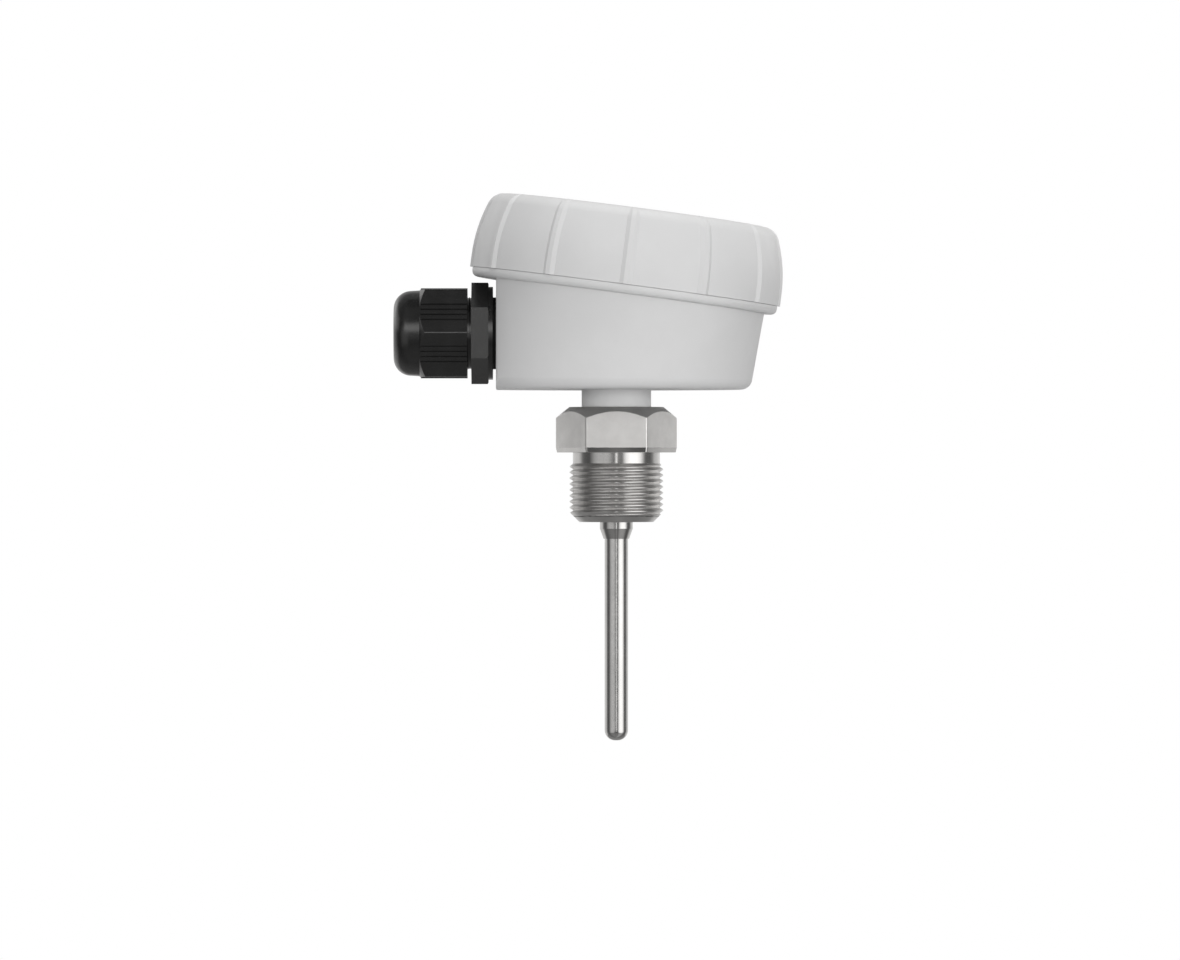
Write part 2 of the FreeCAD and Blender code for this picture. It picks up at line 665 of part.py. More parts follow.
def make_housing():
    """The moulded base: a drum with a tilted rim, a neck below and pillars for the board inside."""
    hollow = new_body("housing_hollow")
    inner_flat = f"({GLAND_FACE} - dim.gland_wall)"
    draw_drum(hollow, "hollow", "dim.wall_thickness", FLOOR, inner_flat, "dim.inside_fillet")

    body = sub_part("housing")
    draw_drum(body, "drum", "0", UNDERSIDE, GLAND_FACE, "dim.outside_fillet")
    rim = {"x": "dim.rim_offset", "y": RIM_HEIGHT, "turn": "dim.rim_tilt"}
    flange = [
        ("0", "-dim.flange_thickness"),
        (f"{FLANGE_RADIUS} - dim.flange_fillet", "-dim.flange_thickness", "dim.flange_fillet"),
        (FLANGE_RADIUS, "dim.flange_fillet - dim.flange_thickness"),
        (FLANGE_RADIUS, "0"),
        (RIM_COLLAR_RADIUS, "0"),
        (RIM_COLLAR_RADIUS, "dim.rim_collar_height"),
        ("0", "dim.rim_collar_height"),
    ]
    revolve(body, "flange", flange, **rim)
    neck = new_sketch(body, "neck_outline", "XY_Plane", z=HEXAGON_TOP)
    bore_radius = "dim.spigot_diameter / 2 + dim.spigot_clearance"
    recess_radius = f"{bore_radius} + dim.neck_seal_section"
    draw_circle(neck, f"{recess_radius} + dim.neck_wall")
    pad(body, "neck", neck, "dim.neck_length + dim.floor_thickness / 2")

    inside = body.newObject("PartDesign::Boolean", "inside")
    inside.setObjects([hollow])
    inside.Type = "Cut"
    document.recompute()
    mouth_radius = f"({RIM_COLLAR_RADIUS} - dim.rim_collar_wall)"
    mouth = [
        ("0", "0"),
        (mouth_radius, "0"),
        (mouth_radius, "dim.rim_collar_height + 1"),
        ("0", "dim.rim_collar_height + 1"),
    ]
    revolve(body, "mouth", mouth, cut=True, **rim)

    pillar_bottom = f"{FLOOR} - dim.floor_thickness / 2"
    pillars = new_sketch(body, "pillar_outline", "XY_Plane", z=pillar_bottom)
    pilots = new_sketch(body, "pilot_outline", "XY_Plane", z=BOARD_UNDERSIDE)
    for side in ("", "-"):
        spot = {"x": "dim.pillar_position", "y": f"{side}{PILLAR_OFFSET}"}
        draw_circle(pillars, "dim.board_screw_diameter / 2 + dim.pillar_wall", **spot)
        draw_circle(pilots, "dim.board_screw_diameter / 2 + dim.screw_gap", **spot)
    pad(body, "pillars", pillars, "dim.board_height + dim.floor_thickness / 2")
    pocket(body, "pilots", pilots, "dim.board_screw_length")

    bore = new_sketch(body, "neck_bore_outline", "XY_Plane", z=FLOOR)
    draw_circle(bore, bore_radius)
    pocket(body, "neck_bore", bore)
    recess = new_sketch(body, "seal_recess_outline", "XY_Plane", z=HEXAGON_TOP)
    draw_circle(recess, recess_radius)
    pocket(body, "seal_recess", recess, "dim.neck_seal_section", forward=True)
    hole = new_sketch(body, "gland_hole_outline", "YZ_Plane", z=f"-{GLAND_FACE}")
    hole_radius = "dim.gland_shank_diameter / 2 + dim.gland_hole_clearance"
    draw_circle(hole, hole_radius, y=GLAND_HEIGHT)
    pocket(body, "gland_hole", hole, "dim.gland_wall + dim.gland_hole_clearance", forward=True)


def make_head_clamp():
    """The O-ring under the neck, and the washer and nut that draw the head down on the fitting."""
    seal = document.addObject("Part::Torus", "neck_seal")
    seal.Label = "neck_seal"
    section = "(dim.neck_seal_section / 2 - dim.fill_gap)"
    seal.setExpression("Radius1", "dim.spigot_diameter / 2 + dim.neck_seal_section / 2 + dim.fill_gap")
    seal.setExpression("Radius2", section)
    place(seal, z=f"{HEXAGON_TOP} + dim.neck_seal_section / 2")
    sub_parts.append(seal)
    flat_ring(
        "clamp_washer", "dim.spigot_diameter / 2 + dim.spigot_clearance",
        "dim.spigot_diameter / 2 + dim.clamp_washer_width", FLOOR, "dim.clamp_washer_thickness",
    )
    hexagon_nut(
        "clamp_nut", "(dim.spigot_diameter + 2 * dim.clamp_nut_wall)",
        "dim.spigot_diameter / 2 + dim.thread_gap", CLAMP_NUT_SEAT, "dim.clamp_nut_height",
    )


def make_lid():
    """The screw cap: a barrel-sided cover with raised grip ribs and a shoulder for its gasket."""
    body = sub_part("lid")
    place_on_rim(body)
    barrel = "dim.lid_barrel_radius"
    barrel_centre = f"({LID_RADIUS} - {barrel})"
    top_rise = "(dim.lid_height - dim.lid_straight)"
    top_edge_radius = f"({barrel_centre} + sqrt({barrel} ^ 2 - {top_rise} ^ 2))"
    ceiling = "dim.lid_height - dim.lid_top_thickness"
    shell = [
        (f"{LID_THREAD_RADIUS} + dim.lid_mouth_chamfer", "dim.parting_gap"),
        (LID_RADIUS, "dim.parting_gap"),
        (LID_RADIUS, "dim.lid_straight", barrel),
        (top_edge_radius, "dim.lid_height"),
        ("0", "dim.lid_height"),
        ("0", ceiling),
        (LID_SHOULDER_RADIUS, ceiling),
        (LID_SHOULDER_RADIUS, LID_SHOULDER),
        (LID_THREAD_RADIUS, LID_SHOULDER),
        (LID_THREAD_RADIUS, "dim.parting_gap + dim.lid_mouth_chamfer"),
    ]
    revolve(body, "shell", shell)
    is_top_edge = is_round_edge(top_edge_radius, "dim.lid_height")
    dress(body, "top_edge", "Fillet", "dim.lid_corner_fillet", is_top_edge)

    # Each rib follows the barrel over the rounded edge, and sinks into the top where the edge ends.
    turn = "dim.lid_rib_turn"
    tail = "dim.lid_rib_tail_radius"
    tail_turn = "dim.lid_rib_tail_turn"
    tail_centre = f"({barrel_centre} + ({barrel} - {tail}) * cos({turn}))"
    tail_height = f"(dim.lid_straight + ({barrel} - {tail}) * sin({turn}))"
    path = new_sketch(body, "rib_path", "XZ_Plane")
    route = [
        (LID_RADIUS, "dim.parting_gap"),
        (LID_RADIUS, "dim.lid_straight", barrel),
        (f"{tail_centre} + {tail} * cos({turn})", f"{tail_height} + {tail} * sin({turn})", tail),
        (f"{tail_centre} + {tail} * cos({tail_turn})", f"{tail_height} + {tail} * sin({tail_turn})"),
    ]
    draw(path, route, closed=False)
    section = new_sketch(body, "rib_section", "XY_Plane", z="dim.parting_gap")
    root = f"{LID_RADIUS} - dim.lid_rib_depth"
    crest = f"{LID_RADIUS} + dim.lid_rib_height"
    rib = [
        (root, "-dim.lid_rib_root / 2"),
        (LID_RADIUS, "-dim.lid_rib_root / 2"),
        (crest, "-dim.lid_rib_crest / 2"),
        (crest, "dim.lid_rib_crest / 2"),
        (LID_RADIUS, "dim.lid_rib_root / 2"),
        (root, "dim.lid_rib_root / 2"),
    ]
    draw(section, rib)
    document.recompute()
    first_rib = body.newObject("PartDesign::AdditivePipe", "first_rib")
    first_rib.Profile = (section, [""])
    first_rib.Spine = (path, [f"Edge{index}" for index in range(1, len(path.Geometry) + 1)])
    document.recompute()
    repeat_round(body, "ribs", first_rib, "dim.lid_rib_count")

    gasket_radius = f"({LID_THREAD_RADIUS} - dim.lid_gasket_side_gap)"
    gasket = flat_ring(
        "lid_gasket", f"{gasket_radius} - dim.lid_gasket_width", gasket_radius,
        "dim.rim_collar_height + dim.gasket_gap", "dim.lid_gasket_thickness",
    )
    place_on_rim(gasket)


def make_circuit_board():
    """The carrier board, with holes for its screws, the leads and the terminal pins."""
    body = sub_part("circuit_board")
    outline = new_sketch(body, "board_outline", "XY_Plane", z=BOARD_UNDERSIDE)
    side_edge = f"({PILLAR_OFFSET} + dim.board_side_edge)"
    back_edge = f"{BLOCK_BACK} + dim.board_back_edge"
    draw_rectangle(outline, "-dim.board_front_edge", back_edge, f"-{side_edge}", side_edge)
    hole_spots = [
        ("dim.board_screw_diameter / 2 + dim.board_hole_clearance", "dim.pillar_position",
         PILLAR_OFFSET),
        ("dim.lead_diameter / 2 + dim.fill_gap", "0", "dim.pole_pitch / 2"),
        ("dim.pin_width / 2 + dim.board_hole_clearance", PIN_MIDDLE, "dim.pole_pitch / 2"),
    ]
    for radius, x, y in hole_spots:
        for side in ("", "-"):
            draw_circle(outline, radius, x=x, y=f"{side}{y}")
    pad(body, "board", outline, "dim.board_thickness")

    def is_corner(edge):
        first, last = edge.Vertexes[0].Point, edge.Vertexes[-1].Point
        upright = near(first.x, last.x) and near(first.y, last.y) and not near(first.z, last.z)
        return upright and near(abs(first.y), number(side_edge))

    dress(body, "board_corners", "Fillet", "dim.board_corner", is_corner)

    screws = sub_part("board_screws")
    spot = {"x": "dim.pillar_position", "y": BOARD_TOP}
    head_radius = "dim.board_screw_head_diameter / 2"
    shank_end = "dim.screw_gap - dim.board_screw_length"
    sketch = new_sketch(screws, "screw_profile", "XZ_Plane", z=f"-{PILLAR_OFFSET}", **spot)
    profile = [
        ("0", shank_end),
        ("dim.board_screw_diameter / 2 - dim.board_screw_slot / 2", shank_end),
        ("dim.board_screw_diameter / 2", f"{shank_end} + dim.board_screw_slot"),
        ("dim.board_screw_diameter / 2", "0"),
        (head_radius, "0"),
        (head_radius, "dim.board_screw_head_height / 2", "dim.board_screw_head_height"),
        (f"{head_radius} - dim.board_screw_head_height / 2", "dim.board_screw_head_height"),
        ("0", "dim.board_screw_head_height"),
    ]
    draw(sketch, profile)
    screw = screws.newObject("PartDesign::Revolution", "screw")
    screw.Profile = (sketch, [""])
    screw.ReferenceAxis = (sketch, ["V_Axis"])
    screw.Angle = 360
    document.recompute()
    slot_bottom = f"{BOARD_TOP} + dim.board_screw_head_height / 2"
    slot = new_sketch(screws, "slot_outline", "XY_Plane", z=slot_bottom)
    middle = PILLAR_OFFSET
    draw_rectangle(
        slot, f"dim.pillar_position - {head_radius} - 1", f"dim.pillar_position + {head_radius} + 1",
        f"{middle} - dim.board_screw_slot / 2", f"{middle} + dim.board_screw_slot / 2",
    )
    cut = pocket(screws, "slot", slot, "dim.board_screw_head_height", forward=True)
    mirror(screws, "both_screws", [screw, cut])


# Places inside the terminal block: along X from the block's front, and up from the board
CELL_WIDTH = "(dim.pole_pitch - dim.block_middle_wall)"
CAGE_HALF = f"({CELL_WIDTH} / 2 - dim.cage_side_gap)"
WIRE_HALF = f"({CAGE_HALF} - dim.cage_wall)"
BAR_HALF = f"({WIRE_HALF} - dim.bar_side_gap)"
CELL_START = "(dim.block_position + dim.block_front_wall)"
CAGE_START = f"({CELL_START} + dim.cage_side_gap)"
CAGE_END = f"({CAGE_START} + dim.cage_length)"
CELL_END = f"({CAGE_END} + dim.cage_back_gap)"
SCREW_MIDDLE = f"(({CAGE_START} + {CAGE_END}) / 2)"
PIN_MIDDLE = f"({CELL_END} + dim.pin_width)"
PIN_END = f"({PIN_MIDDLE} + dim.pin_width / 2)"
BLOCK_BACK = f"({PIN_END} + dim.screw_gap + dim.block_back_wall)"
CAGE_BOTTOM = f"({BOARD_TOP} + dim.cage_board_gap)"
WIRE_FLOOR = f"({CAGE_BOTTOM} + dim.cage_floor)"
BAR_BOTTOM = f"({WIRE_FLOOR} + dim.cage_travel + dim.cage_stop_gap)"
BAR_TOP = f"({BAR_BOTTOM} + dim.bar_thickness)"
CAGE_ROOF = f"({BAR_TOP} + dim.bar_roof_gap)"
CAGE_TOP = f"({CAGE_ROOF} + dim.cage_roof)"
SCREW_TIP = f"({BAR_TOP} + dim.clamp_screw_gap)"
SCREW_HEAD = f"({CAGE_TOP} + dim.cage_travel + dim.clamp_screw_gap)"
SCREW_TOP = f"({SCREW_HEAD} + dim.clamp_screw_head_height)"


def make_terminal_block():
    """The plastic block: two cells open to the board, with wire entries in front and driver holes."""
    body = sub_part("terminal_block")
    half_width = f"(dim.pole_pitch / 2 + {CELL_WIDTH} / 2 + dim.block_side_wall)"
    outline = new_sketch(body, "block_outline", "XY_Plane", z=BOARD_TOP)
    draw_rectangle(outline, "dim.block_position", BLOCK_BACK, f"-{half_width}", half_width)
    roof = f"{SCREW_TOP} + dim.clamp_screw_gap"
    pad(body, "block", outline, f"{roof} + dim.block_roof - {BOARD_TOP}")

    cells = new_sketch(body, "cell_outline", "XY_Plane", z=BOARD_TOP)
    slots = new_sketch(body, "bar_slot_outline", "XY_Plane", z=BOARD_TOP)
    holes = new_sketch(body, "driver_hole_outline", "XY_Plane", z=roof)
    entries = new_sketch(body, "wire_entry_outline", "YZ_Plane", z="dim.block_position")
    for side in ("", "-"):
        pole = f"{side}dim.pole_pitch / 2"
        low, high = f"{pole} - {CELL_WIDTH} / 2", f"{pole} + {CELL_WIDTH} / 2"
        draw_rectangle(cells, CELL_START, CELL_END, low, high)
        slot_half = f"({BAR_HALF} + dim.screw_gap)"
        slot_end = f"{PIN_END} + dim.screw_gap"
        draw_rectangle(slots, CELL_START, slot_end, f"{pole} - {slot_half}", f"{pole} + {slot_half}")
        hole_radius = "dim.clamp_screw_head_diameter / 2 - dim.driver_hole_step"
        draw_circle(holes, hole_radius, x=SCREW_MIDDLE, y=pole)
        low, high = f"{pole} - {WIRE_HALF}", f"{pole} + {WIRE_HALF}"
        draw_rectangle(entries, low, high, WIRE_FLOOR, BAR_BOTTOM)
    pocket(body, "cells", cells, f"{roof} - {BOARD_TOP}", forward=True)
    pocket(body, "bar_slots", slots, f"{BAR_TOP} + dim.screw_gap - {BOARD_TOP}", forward=True)
    pocket(body, "driver_holes", holes, "2 * dim.block_roof", forward=True)
    pocket(body, "wire_entries", entries, "dim.block_front_wall", forward=True)

    def is_front_edge(edge):
        at_front = all(near(vertex.X, number("dim.block_position")) for vertex in edge.Vertexes)
        top = number(f"{roof} + dim.block_roof")
        return at_front and all(near(vertex.Z, top) for vertex in edge.Vertexes)

    chamfer = "min(dim.block_front_chamfer; 0.9 * dim.block_roof)"
    dress(body, "front_edge", "Chamfer", chamfer, is_front_edge)


def make_terminal_pole(number_of_pole, pole):
    """One clamp: a cage that rises on its screw and draws the wire up against the fixed bar."""
    cage = sub_part(f"terminal_cage_{number_of_pole}")
    frame = new_sketch(cage, f"frame_outline_{number_of_pole}", "YZ_Plane", z=CAGE_START)
    draw_rectangle(frame, f"{pole} - {CAGE_HALF}", f"{pole} + {CAGE_HALF}", CAGE_BOTTOM, CAGE_TOP)
    draw_rectangle(frame, f"{pole} - {WIRE_HALF}", f"{pole} + {WIRE_HALF}", WIRE_FLOOR, CAGE_ROOF)
    pad(cage, f"frame_{number_of_pole}", frame, "dim.cage_length")
    tapped = new_sketch(cage, f"tapped_outline_{number_of_pole}", "XY_Plane", z=CAGE_TOP)
    draw_circle(tapped, "dim.clamp_screw_diameter / 2 + dim.thread_gap", x=SCREW_MIDDLE, y=pole)
    pocket(cage, f"tapped_hole_{number_of_pole}", tapped, "1.5 * dim.cage_roof")

    screw = sub_part(f"terminal_screw_{number_of_pole}")
    head = "dim.clamp_screw_head_diameter / 2"
    shank = "dim.clamp_screw_diameter / 2"
    profile = [
        ("0", SCREW_TIP),
        (shank, SCREW_TIP),
        (shank, SCREW_HEAD),
        (head, SCREW_HEAD),
        (head, SCREW_TOP),
        ("0", SCREW_TOP),
    ]
    revolve(screw, f"turned_{number_of_pole}", profile)
    slot_bottom = f"{SCREW_TOP} - dim.clamp_screw_slot_depth"
    slot = new_sketch(screw, f"slot_outline_{number_of_pole}", "XY_Plane", z=slot_bottom)
    slot_half = "dim.clamp_screw_slot / 2"
    draw_rectangle(slot, f"-{head} - 1", f"{head} + 1", f"-{slot_half}", slot_half)
    pocket(screw, f"slot_{number_of_pole}", slot, "dim.clamp_screw_head_height", forward=True)
    place(screw, x=SCREW_MIDDLE, y=pole)


def make_terminal_pins():
    """The fixed contact bars, each with a pin that goes down through the board."""
    body = sub_part("terminal_pins")
    pole = "dim.pole_pitch / 2"
    bars = new_sketch(body, "bar_outline", "XY_Plane", z=BAR_BOTTOM)
    draw_rectangle(bars, CAGE_START, PIN_END, f"{pole} - {BAR_HALF}", f"{pole} + {BAR_HALF}")
    bar = pad(body, "bar", bars, "dim.bar_thickness")
    pins = new_sketch(body, "pin_outline", "XY_Plane", z=f"{BOARD_UNDERSIDE} - dim.pin_tail")
    pin_half = "dim.pin_width / 2"
    pin_rise = f"{BAR_BOTTOM} + dim.bar_thickness / 2 - {BOARD_UNDERSIDE} + dim.pin_tail"
    pin_side = f"0.7 * {pin_half}"
    draw_rectangle(
        pins, f"{PIN_MIDDLE} - {pin_side}", f"{PIN_MIDDLE} + {pin_side}",
        f"{pole} - {pin_side}", f"{pole} + {pin_side}",
    )
    pin = pad(body, "pin", pins, pin_rise)
    mirror(body, "both_poles", [bar, pin])


# Distances out from the housing's flat, in the gland's own frame, and radii about its axis
GLAND_RING = "dim.gland_gasket_thickness"
GLAND_HEXAGON = f"({GLAND_RING} + dim.gland_ring_thickness)"
GLAND_THREAD = f"({GLAND_HEXAGON} + dim.gland_hexagon_height)"
FINGER_ROOT = f"({GLAND_THREAD} + dim.nut_thread_length)"
FINGER_TIP = f"({FINGER_ROOT} + dim.finger_length)"
FINGER_SEAT = f"({FINGER_ROOT} - dim.finger_seat_depth)"
NUT_RIM = f"({GLAND_THREAD} + dim.nut_gap)"
NUT_GRIP_END = f"({NUT_RIM} + dim.nut_grip_length)"
NUT_CONE_START = f"({FINGER_ROOT} + dim.nut_thread_spare)"
NUT_CONE_END = f"({FINGER_TIP} + dim.nut_cone_reach)"
NUT_MOUTH = f"({NUT_CONE_END} + dim.nut_shoulder_length)"
NUT_END = f"({NUT_MOUTH} + dim.nut_mouth_length)"
SHANK_RADIUS = "(dim.gland_shank_diameter / 2)"
NUT_THREAD_RADIUS = "(dim.nut_thread_diameter / 2)"
FINGER_ROOT_RADIUS = f"({NUT_THREAD_RADIUS} - dim.finger_step)"
FINGER_TIP_RADIUS = f"({FINGER_ROOT_RADIUS} - dim.finger_lean)"
FINGER_BORE = f"({FINGER_TIP_RADIUS} - dim.finger_wall)"
SEAL_RADIUS = f"({FINGER_BORE} - dim.seal_gap)"
SEAL_BORE = f"({SEAL_RADIUS} - dim.seal_wall)"
NUT_FLATS = "(dim.nut_thread_diameter + 2 * dim.nut_wall)"


def make_gland_body():
    """The fixed half of the gland: shank through the wall, hexagon, nut thread and fingers."""
    body = sub_part("gland_body")
    place_on_gland_face(body)
    hexagon = new_sketch(body, "gland_hexagon_outline", "XY_Plane", z=GLAND_HEXAGON)
    draw_hexagon(hexagon, GLAND_FLATS)
    pad(body, "gland_hexagon", hexagon, "dim.gland_hexagon_height")
    outside = f"{GLAND_CORNER} + dim.gland_hexagon_bevel"
    bevel = [
        (f"{GLAND_CORNER} - 2 * dim.gland_hexagon_bevel", GLAND_HEXAGON),
        (outside, GLAND_HEXAGON),
        (outside, f"{GLAND_HEXAGON} + 1.5 * dim.gland_hexagon_bevel"),
    ]
    revolve(body, "gland_hexagon_bevel", bevel, cut=True)

    ring = f"({GLAND_FLATS} / 2 + dim.gland_ring_overhang)"
    inner_end = "-(dim.gland_wall + dim.gland_shank_inside)"
    bore = f"({FINGER_BORE} - dim.finger_seat_width)"
    turned = [
        (bore, inner_end),
        (SHANK_RADIUS, inner_end),
        (SHANK_RADIUS, GLAND_RING),
        (ring, GLAND_RING),
        (ring, GLAND_HEXAGON),
        (NUT_THREAD_RADIUS, GLAND_HEXAGON),
        (NUT_THREAD_RADIUS, FINGER_ROOT),
        (FINGER_ROOT_RADIUS, FINGER_ROOT),
        (FINGER_TIP_RADIUS, FINGER_TIP),
        (FINGER_BORE, FINGER_TIP),
        (FINGER_BORE, FINGER_SEAT),
        (bore, FINGER_SEAT),
    ]
    revolve(body, "turned", turned)
    cleared = [
        ("0", inner_end),
        (bore, inner_end),
        (bore, FINGER_SEAT),
        (FINGER_BORE, FINGER_SEAT),
        (FINGER_BORE, f"{FINGER_TIP} + 1"),
        ("0", f"{FINGER_TIP} + 1"),
    ]
    revolve(body, "bore", cleared, cut=True)
    slot = new_sketch(body, "finger_slot_outline", "XY_Plane", z=f"{FINGER_ROOT} + dim.finger_slot")
    half = "dim.finger_slot / 2"
    draw_rectangle(slot, "0", f"{FINGER_ROOT_RADIUS} + 1", f"-{half}", half)
    first_slot = pocket(body, "first_slot", slot, "dim.finger_length", forward=True)
    repeat_round(body, "finger_slots", first_slot, "dim.finger_slot_count")


def make_gland_fixings():
    """The gasket outside the wall, the locknut inside it and the sleeve that grips the cable."""
    gasket = flat_ring(
        "gland_gasket", f"{SHANK_RADIUS} + dim.thread_gap", f"{SHANK_RADIUS} + dim.gland_gasket_width",
        "0", "dim.gland_gasket_thickness",
    )
    place_on_gland_face(gasket)
    locknut_seat = "-(dim.gland_wall + dim.locknut_height)"
    locknut = hexagon_nut(
        "gland_locknut", LOCKNUT_FLATS, f"{SHANK_RADIUS} + dim.thread_gap",
        locknut_seat, "dim.locknut_height", first_corner=30,
    )
    place_on_gland_face(locknut)

    seal = sub_part("gland_seal")
    place_on_gland_face(seal)
    collar_radius = f"({FINGER_TIP_RADIUS} - dim.seal_collar_inset)"
    bottom = f"({FINGER_SEAT} + dim.seal_travel)"
    collar = f"({FINGER_TIP} + dim.seal_travel)"
    top = f"({collar} + dim.seal_collar_length)"
    sleeve = [
        (SEAL_BORE, bottom),
        (SEAL_RADIUS, bottom),
        (SEAL_RADIUS, collar),
        (collar_radius, collar),
        (collar_radius, top),
        (SEAL_BORE, top),
    ]
    revolve(seal, "sleeve", sleeve)


def make_gland_nut():
    """The domed nut: a hexagon grip with fine ridges on its flats, then a rounded dome."""
    body = sub_part("gland_nut")
    place_on_gland_face(body)
    grip = new_sketch(body, "grip_outline", "XY_Plane", z=NUT_RIM)
    draw_hexagon(grip, NUT_FLATS, first_corner=30)
    pad(body, "grip", grip, "dim.nut_grip_length")

    def is_corner(edge):
        return not near(edge.Vertexes[0].Z, edge.Vertexes[-1].Z)

    dress(body, "grip_corners", "Fillet", "dim.nut_corner_radius", is_corner)
    dome_radius = f"({NUT_FLATS} / 2 - dim.nut_dome_step)"
    corner = f"({NUT_FLATS} / sqrt(3) + 1)"
    drop = f"({corner} - {NUT_FLATS} / 2) * tan(dim.nut_crown_angle)"
    crown = [
        (f"{NUT_FLATS} / 2", NUT_GRIP_END),
        (corner, NUT_GRIP_END),
        (corner, f"{NUT_GRIP_END} - {drop}"),
    ]
    revolve(body, "crown", crown, cut=True)
    end_radius = f"({dome_radius} - ({NUT_END} - {NUT_GRIP_END}) * tan(dim.nut_dome_taper))"
    dome = [
        ("0", NUT_RIM),
        (dome_radius, NUT_RIM),
        (dome_radius, NUT_GRIP_END),
        (end_radius, NUT_END),
        ("0", NUT_END),
    ]
    revolve(body, "dome", dome)
    dress(body, "dome_edge", "Fillet", "dim.nut_dome_fillet", is_round_edge(end_radius, NUT_END))

    thread = f"({NUT_THREAD_RADIUS} + dim.nut_thread_gap)"
    mouth = f"({SEAL_BORE} + dim.nut_mouth_step)"
    inside = [
        ("0", f"{NUT_RIM} - 1"),
        (thread, f"{NUT_RIM} - 1"),
        (thread, NUT_CONE_START),
        (f"{FINGER_TIP_RADIUS} + dim.nut_cone_gap", NUT_CONE_END),
        (mouth, NUT_MOUTH),
        (mouth, f"{NUT_END} + 1"),
        ("0", f"{NUT_END} + 1"),
    ]
    revolve(body, "inside", inside, cut=True)

    # The ridges of one flat stand side by side, and are then repeated on the other flats.
    ridges = new_sketch(body, "ridge_outline", "XY_Plane", z=NUT_RIM)
    flat = f"{NUT_FLATS} / 2"
    count = int(number("dim.nut_ridge_count"))
    for step in range(count):
        middle = f"({step} - (dim.nut_ridge_count - 1) / 2) * dim.nut_ridge_pitch"
        ridge = [
            (f"{flat} - dim.nut_ridge_height", f"{middle} - dim.nut_ridge_root / 2"),
            (f"{flat} + dim.nut_ridge_height", f"{middle} - dim.nut_ridge_crest / 2"),
            (f"{flat} + dim.nut_ridge_height", f"{middle} + dim.nut_ridge_crest / 2"),
            (f"{flat} - dim.nut_ridge_height", f"{middle} + dim.nut_ridge_root / 2"),
        ]
        draw(ridges, ridge)
    one_flat = pad(body, "one_flat", ridges, "dim.nut_grip_length - dim.nut_ridge_height")
    repeat_round(body, "all_flats", one_flat, "6")


make_process_fitting()
make_probe_tube()
make_sensing_element()
for lead_number, lead_side in ((1, -1), (2, 1)):
    make_lead(f"lead_{lead_number}", lead_side)
make_housing()
make_head_clamp()
make_lid()
make_circuit_board()
make_terminal_block()
for pole_number, pole_place in ((1, "-dim.pole_pitch / 2"), (2, "dim.pole_pitch / 2")):
    make_terminal_pole(pole_number, pole_place)
make_terminal_pins()
make_gland_body()
make_gland_fixings()
make_gland_nut()
document.recompute()

for item in document.Objects:
    if "Invalid" in item.State or "Error" in item.State:
        raise RuntimeError(f"{item.Label} failed: {item.State}")
for item in sub_parts:
    if item.Shape.isNull() or not item.Shape.isValid():
        raise RuntimeError(f"{item.Label} has no valid shape")

os.makedirs("parts", exist_ok=True)
for item in sub_parts:
    item.Shape.exportStep(f"parts/{item.Label}.step")
    print(f"{item.Label}: {len(item.Shape.Solids)} solid, {item.Shape.Volume:.1f} cubic millimetres")
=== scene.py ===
# %% [markdown]
# # An immersion temperature probe
#
# The object is a slim steel stem with a threaded hexagon fitting, under a round grey connection head.
# The head has a tilted screw lid, and a black cable gland on its flat side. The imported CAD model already
# has every solid at its real size and place, so this lesson adds what CAD leaves plain: cut threads,
# solder, a board's tracks, and materials that look like moulded plastic, nylon, rubber and turned steel.

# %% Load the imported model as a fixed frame
import json
import math

import bpy
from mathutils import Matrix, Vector


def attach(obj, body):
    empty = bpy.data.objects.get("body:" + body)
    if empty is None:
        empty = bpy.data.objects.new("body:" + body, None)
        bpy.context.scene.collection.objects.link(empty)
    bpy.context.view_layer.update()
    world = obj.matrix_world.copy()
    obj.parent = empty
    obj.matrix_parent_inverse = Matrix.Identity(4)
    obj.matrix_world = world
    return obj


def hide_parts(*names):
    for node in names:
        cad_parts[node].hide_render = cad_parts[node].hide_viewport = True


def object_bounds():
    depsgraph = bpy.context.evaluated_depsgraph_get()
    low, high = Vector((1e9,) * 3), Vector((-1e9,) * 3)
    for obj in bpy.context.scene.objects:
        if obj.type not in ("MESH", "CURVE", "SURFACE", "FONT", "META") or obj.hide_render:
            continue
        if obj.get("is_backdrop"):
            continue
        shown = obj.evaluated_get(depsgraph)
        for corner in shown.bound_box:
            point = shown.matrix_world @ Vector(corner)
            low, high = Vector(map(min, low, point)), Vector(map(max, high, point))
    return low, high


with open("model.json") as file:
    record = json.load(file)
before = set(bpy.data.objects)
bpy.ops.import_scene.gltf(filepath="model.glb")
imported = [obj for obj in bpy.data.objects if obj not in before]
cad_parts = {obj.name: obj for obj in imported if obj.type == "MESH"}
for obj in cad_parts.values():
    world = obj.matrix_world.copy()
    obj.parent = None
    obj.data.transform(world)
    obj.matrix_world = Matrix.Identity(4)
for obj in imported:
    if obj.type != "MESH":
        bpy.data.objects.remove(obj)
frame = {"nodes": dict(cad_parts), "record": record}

MM = 0.001
scene = bpy.context.scene
scene.view_settings.view_transform = "Standard"
cad_low, cad_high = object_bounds()
print("CAD box in mm:", [round(side / MM, 1) for side in cad_high - cad_low])

# %% [markdown]
# ## Camera
#
# The photograph was taken level with the fitting, square to the side, through a long lens: upright edges
# stay upright and the near and far sides of the hexagon look the same size. A camera without perspective
# would come close, but a camera far away with a narrow field gives just what the long lens gave. The field
# is worked out from the picture's 1180 by 960 frame: it is 302 mm wide at the stem's axis.

# %% Camera
PHOTO_WIDTH = 1180
PHOTO_HEIGHT = 960
FIELD_WIDTH = 302.1 * MM
FIELD_CENTRE = Vector((-6.75, 0.0, -4.24)) * MM
CAMERA_DISTANCE = 3.0

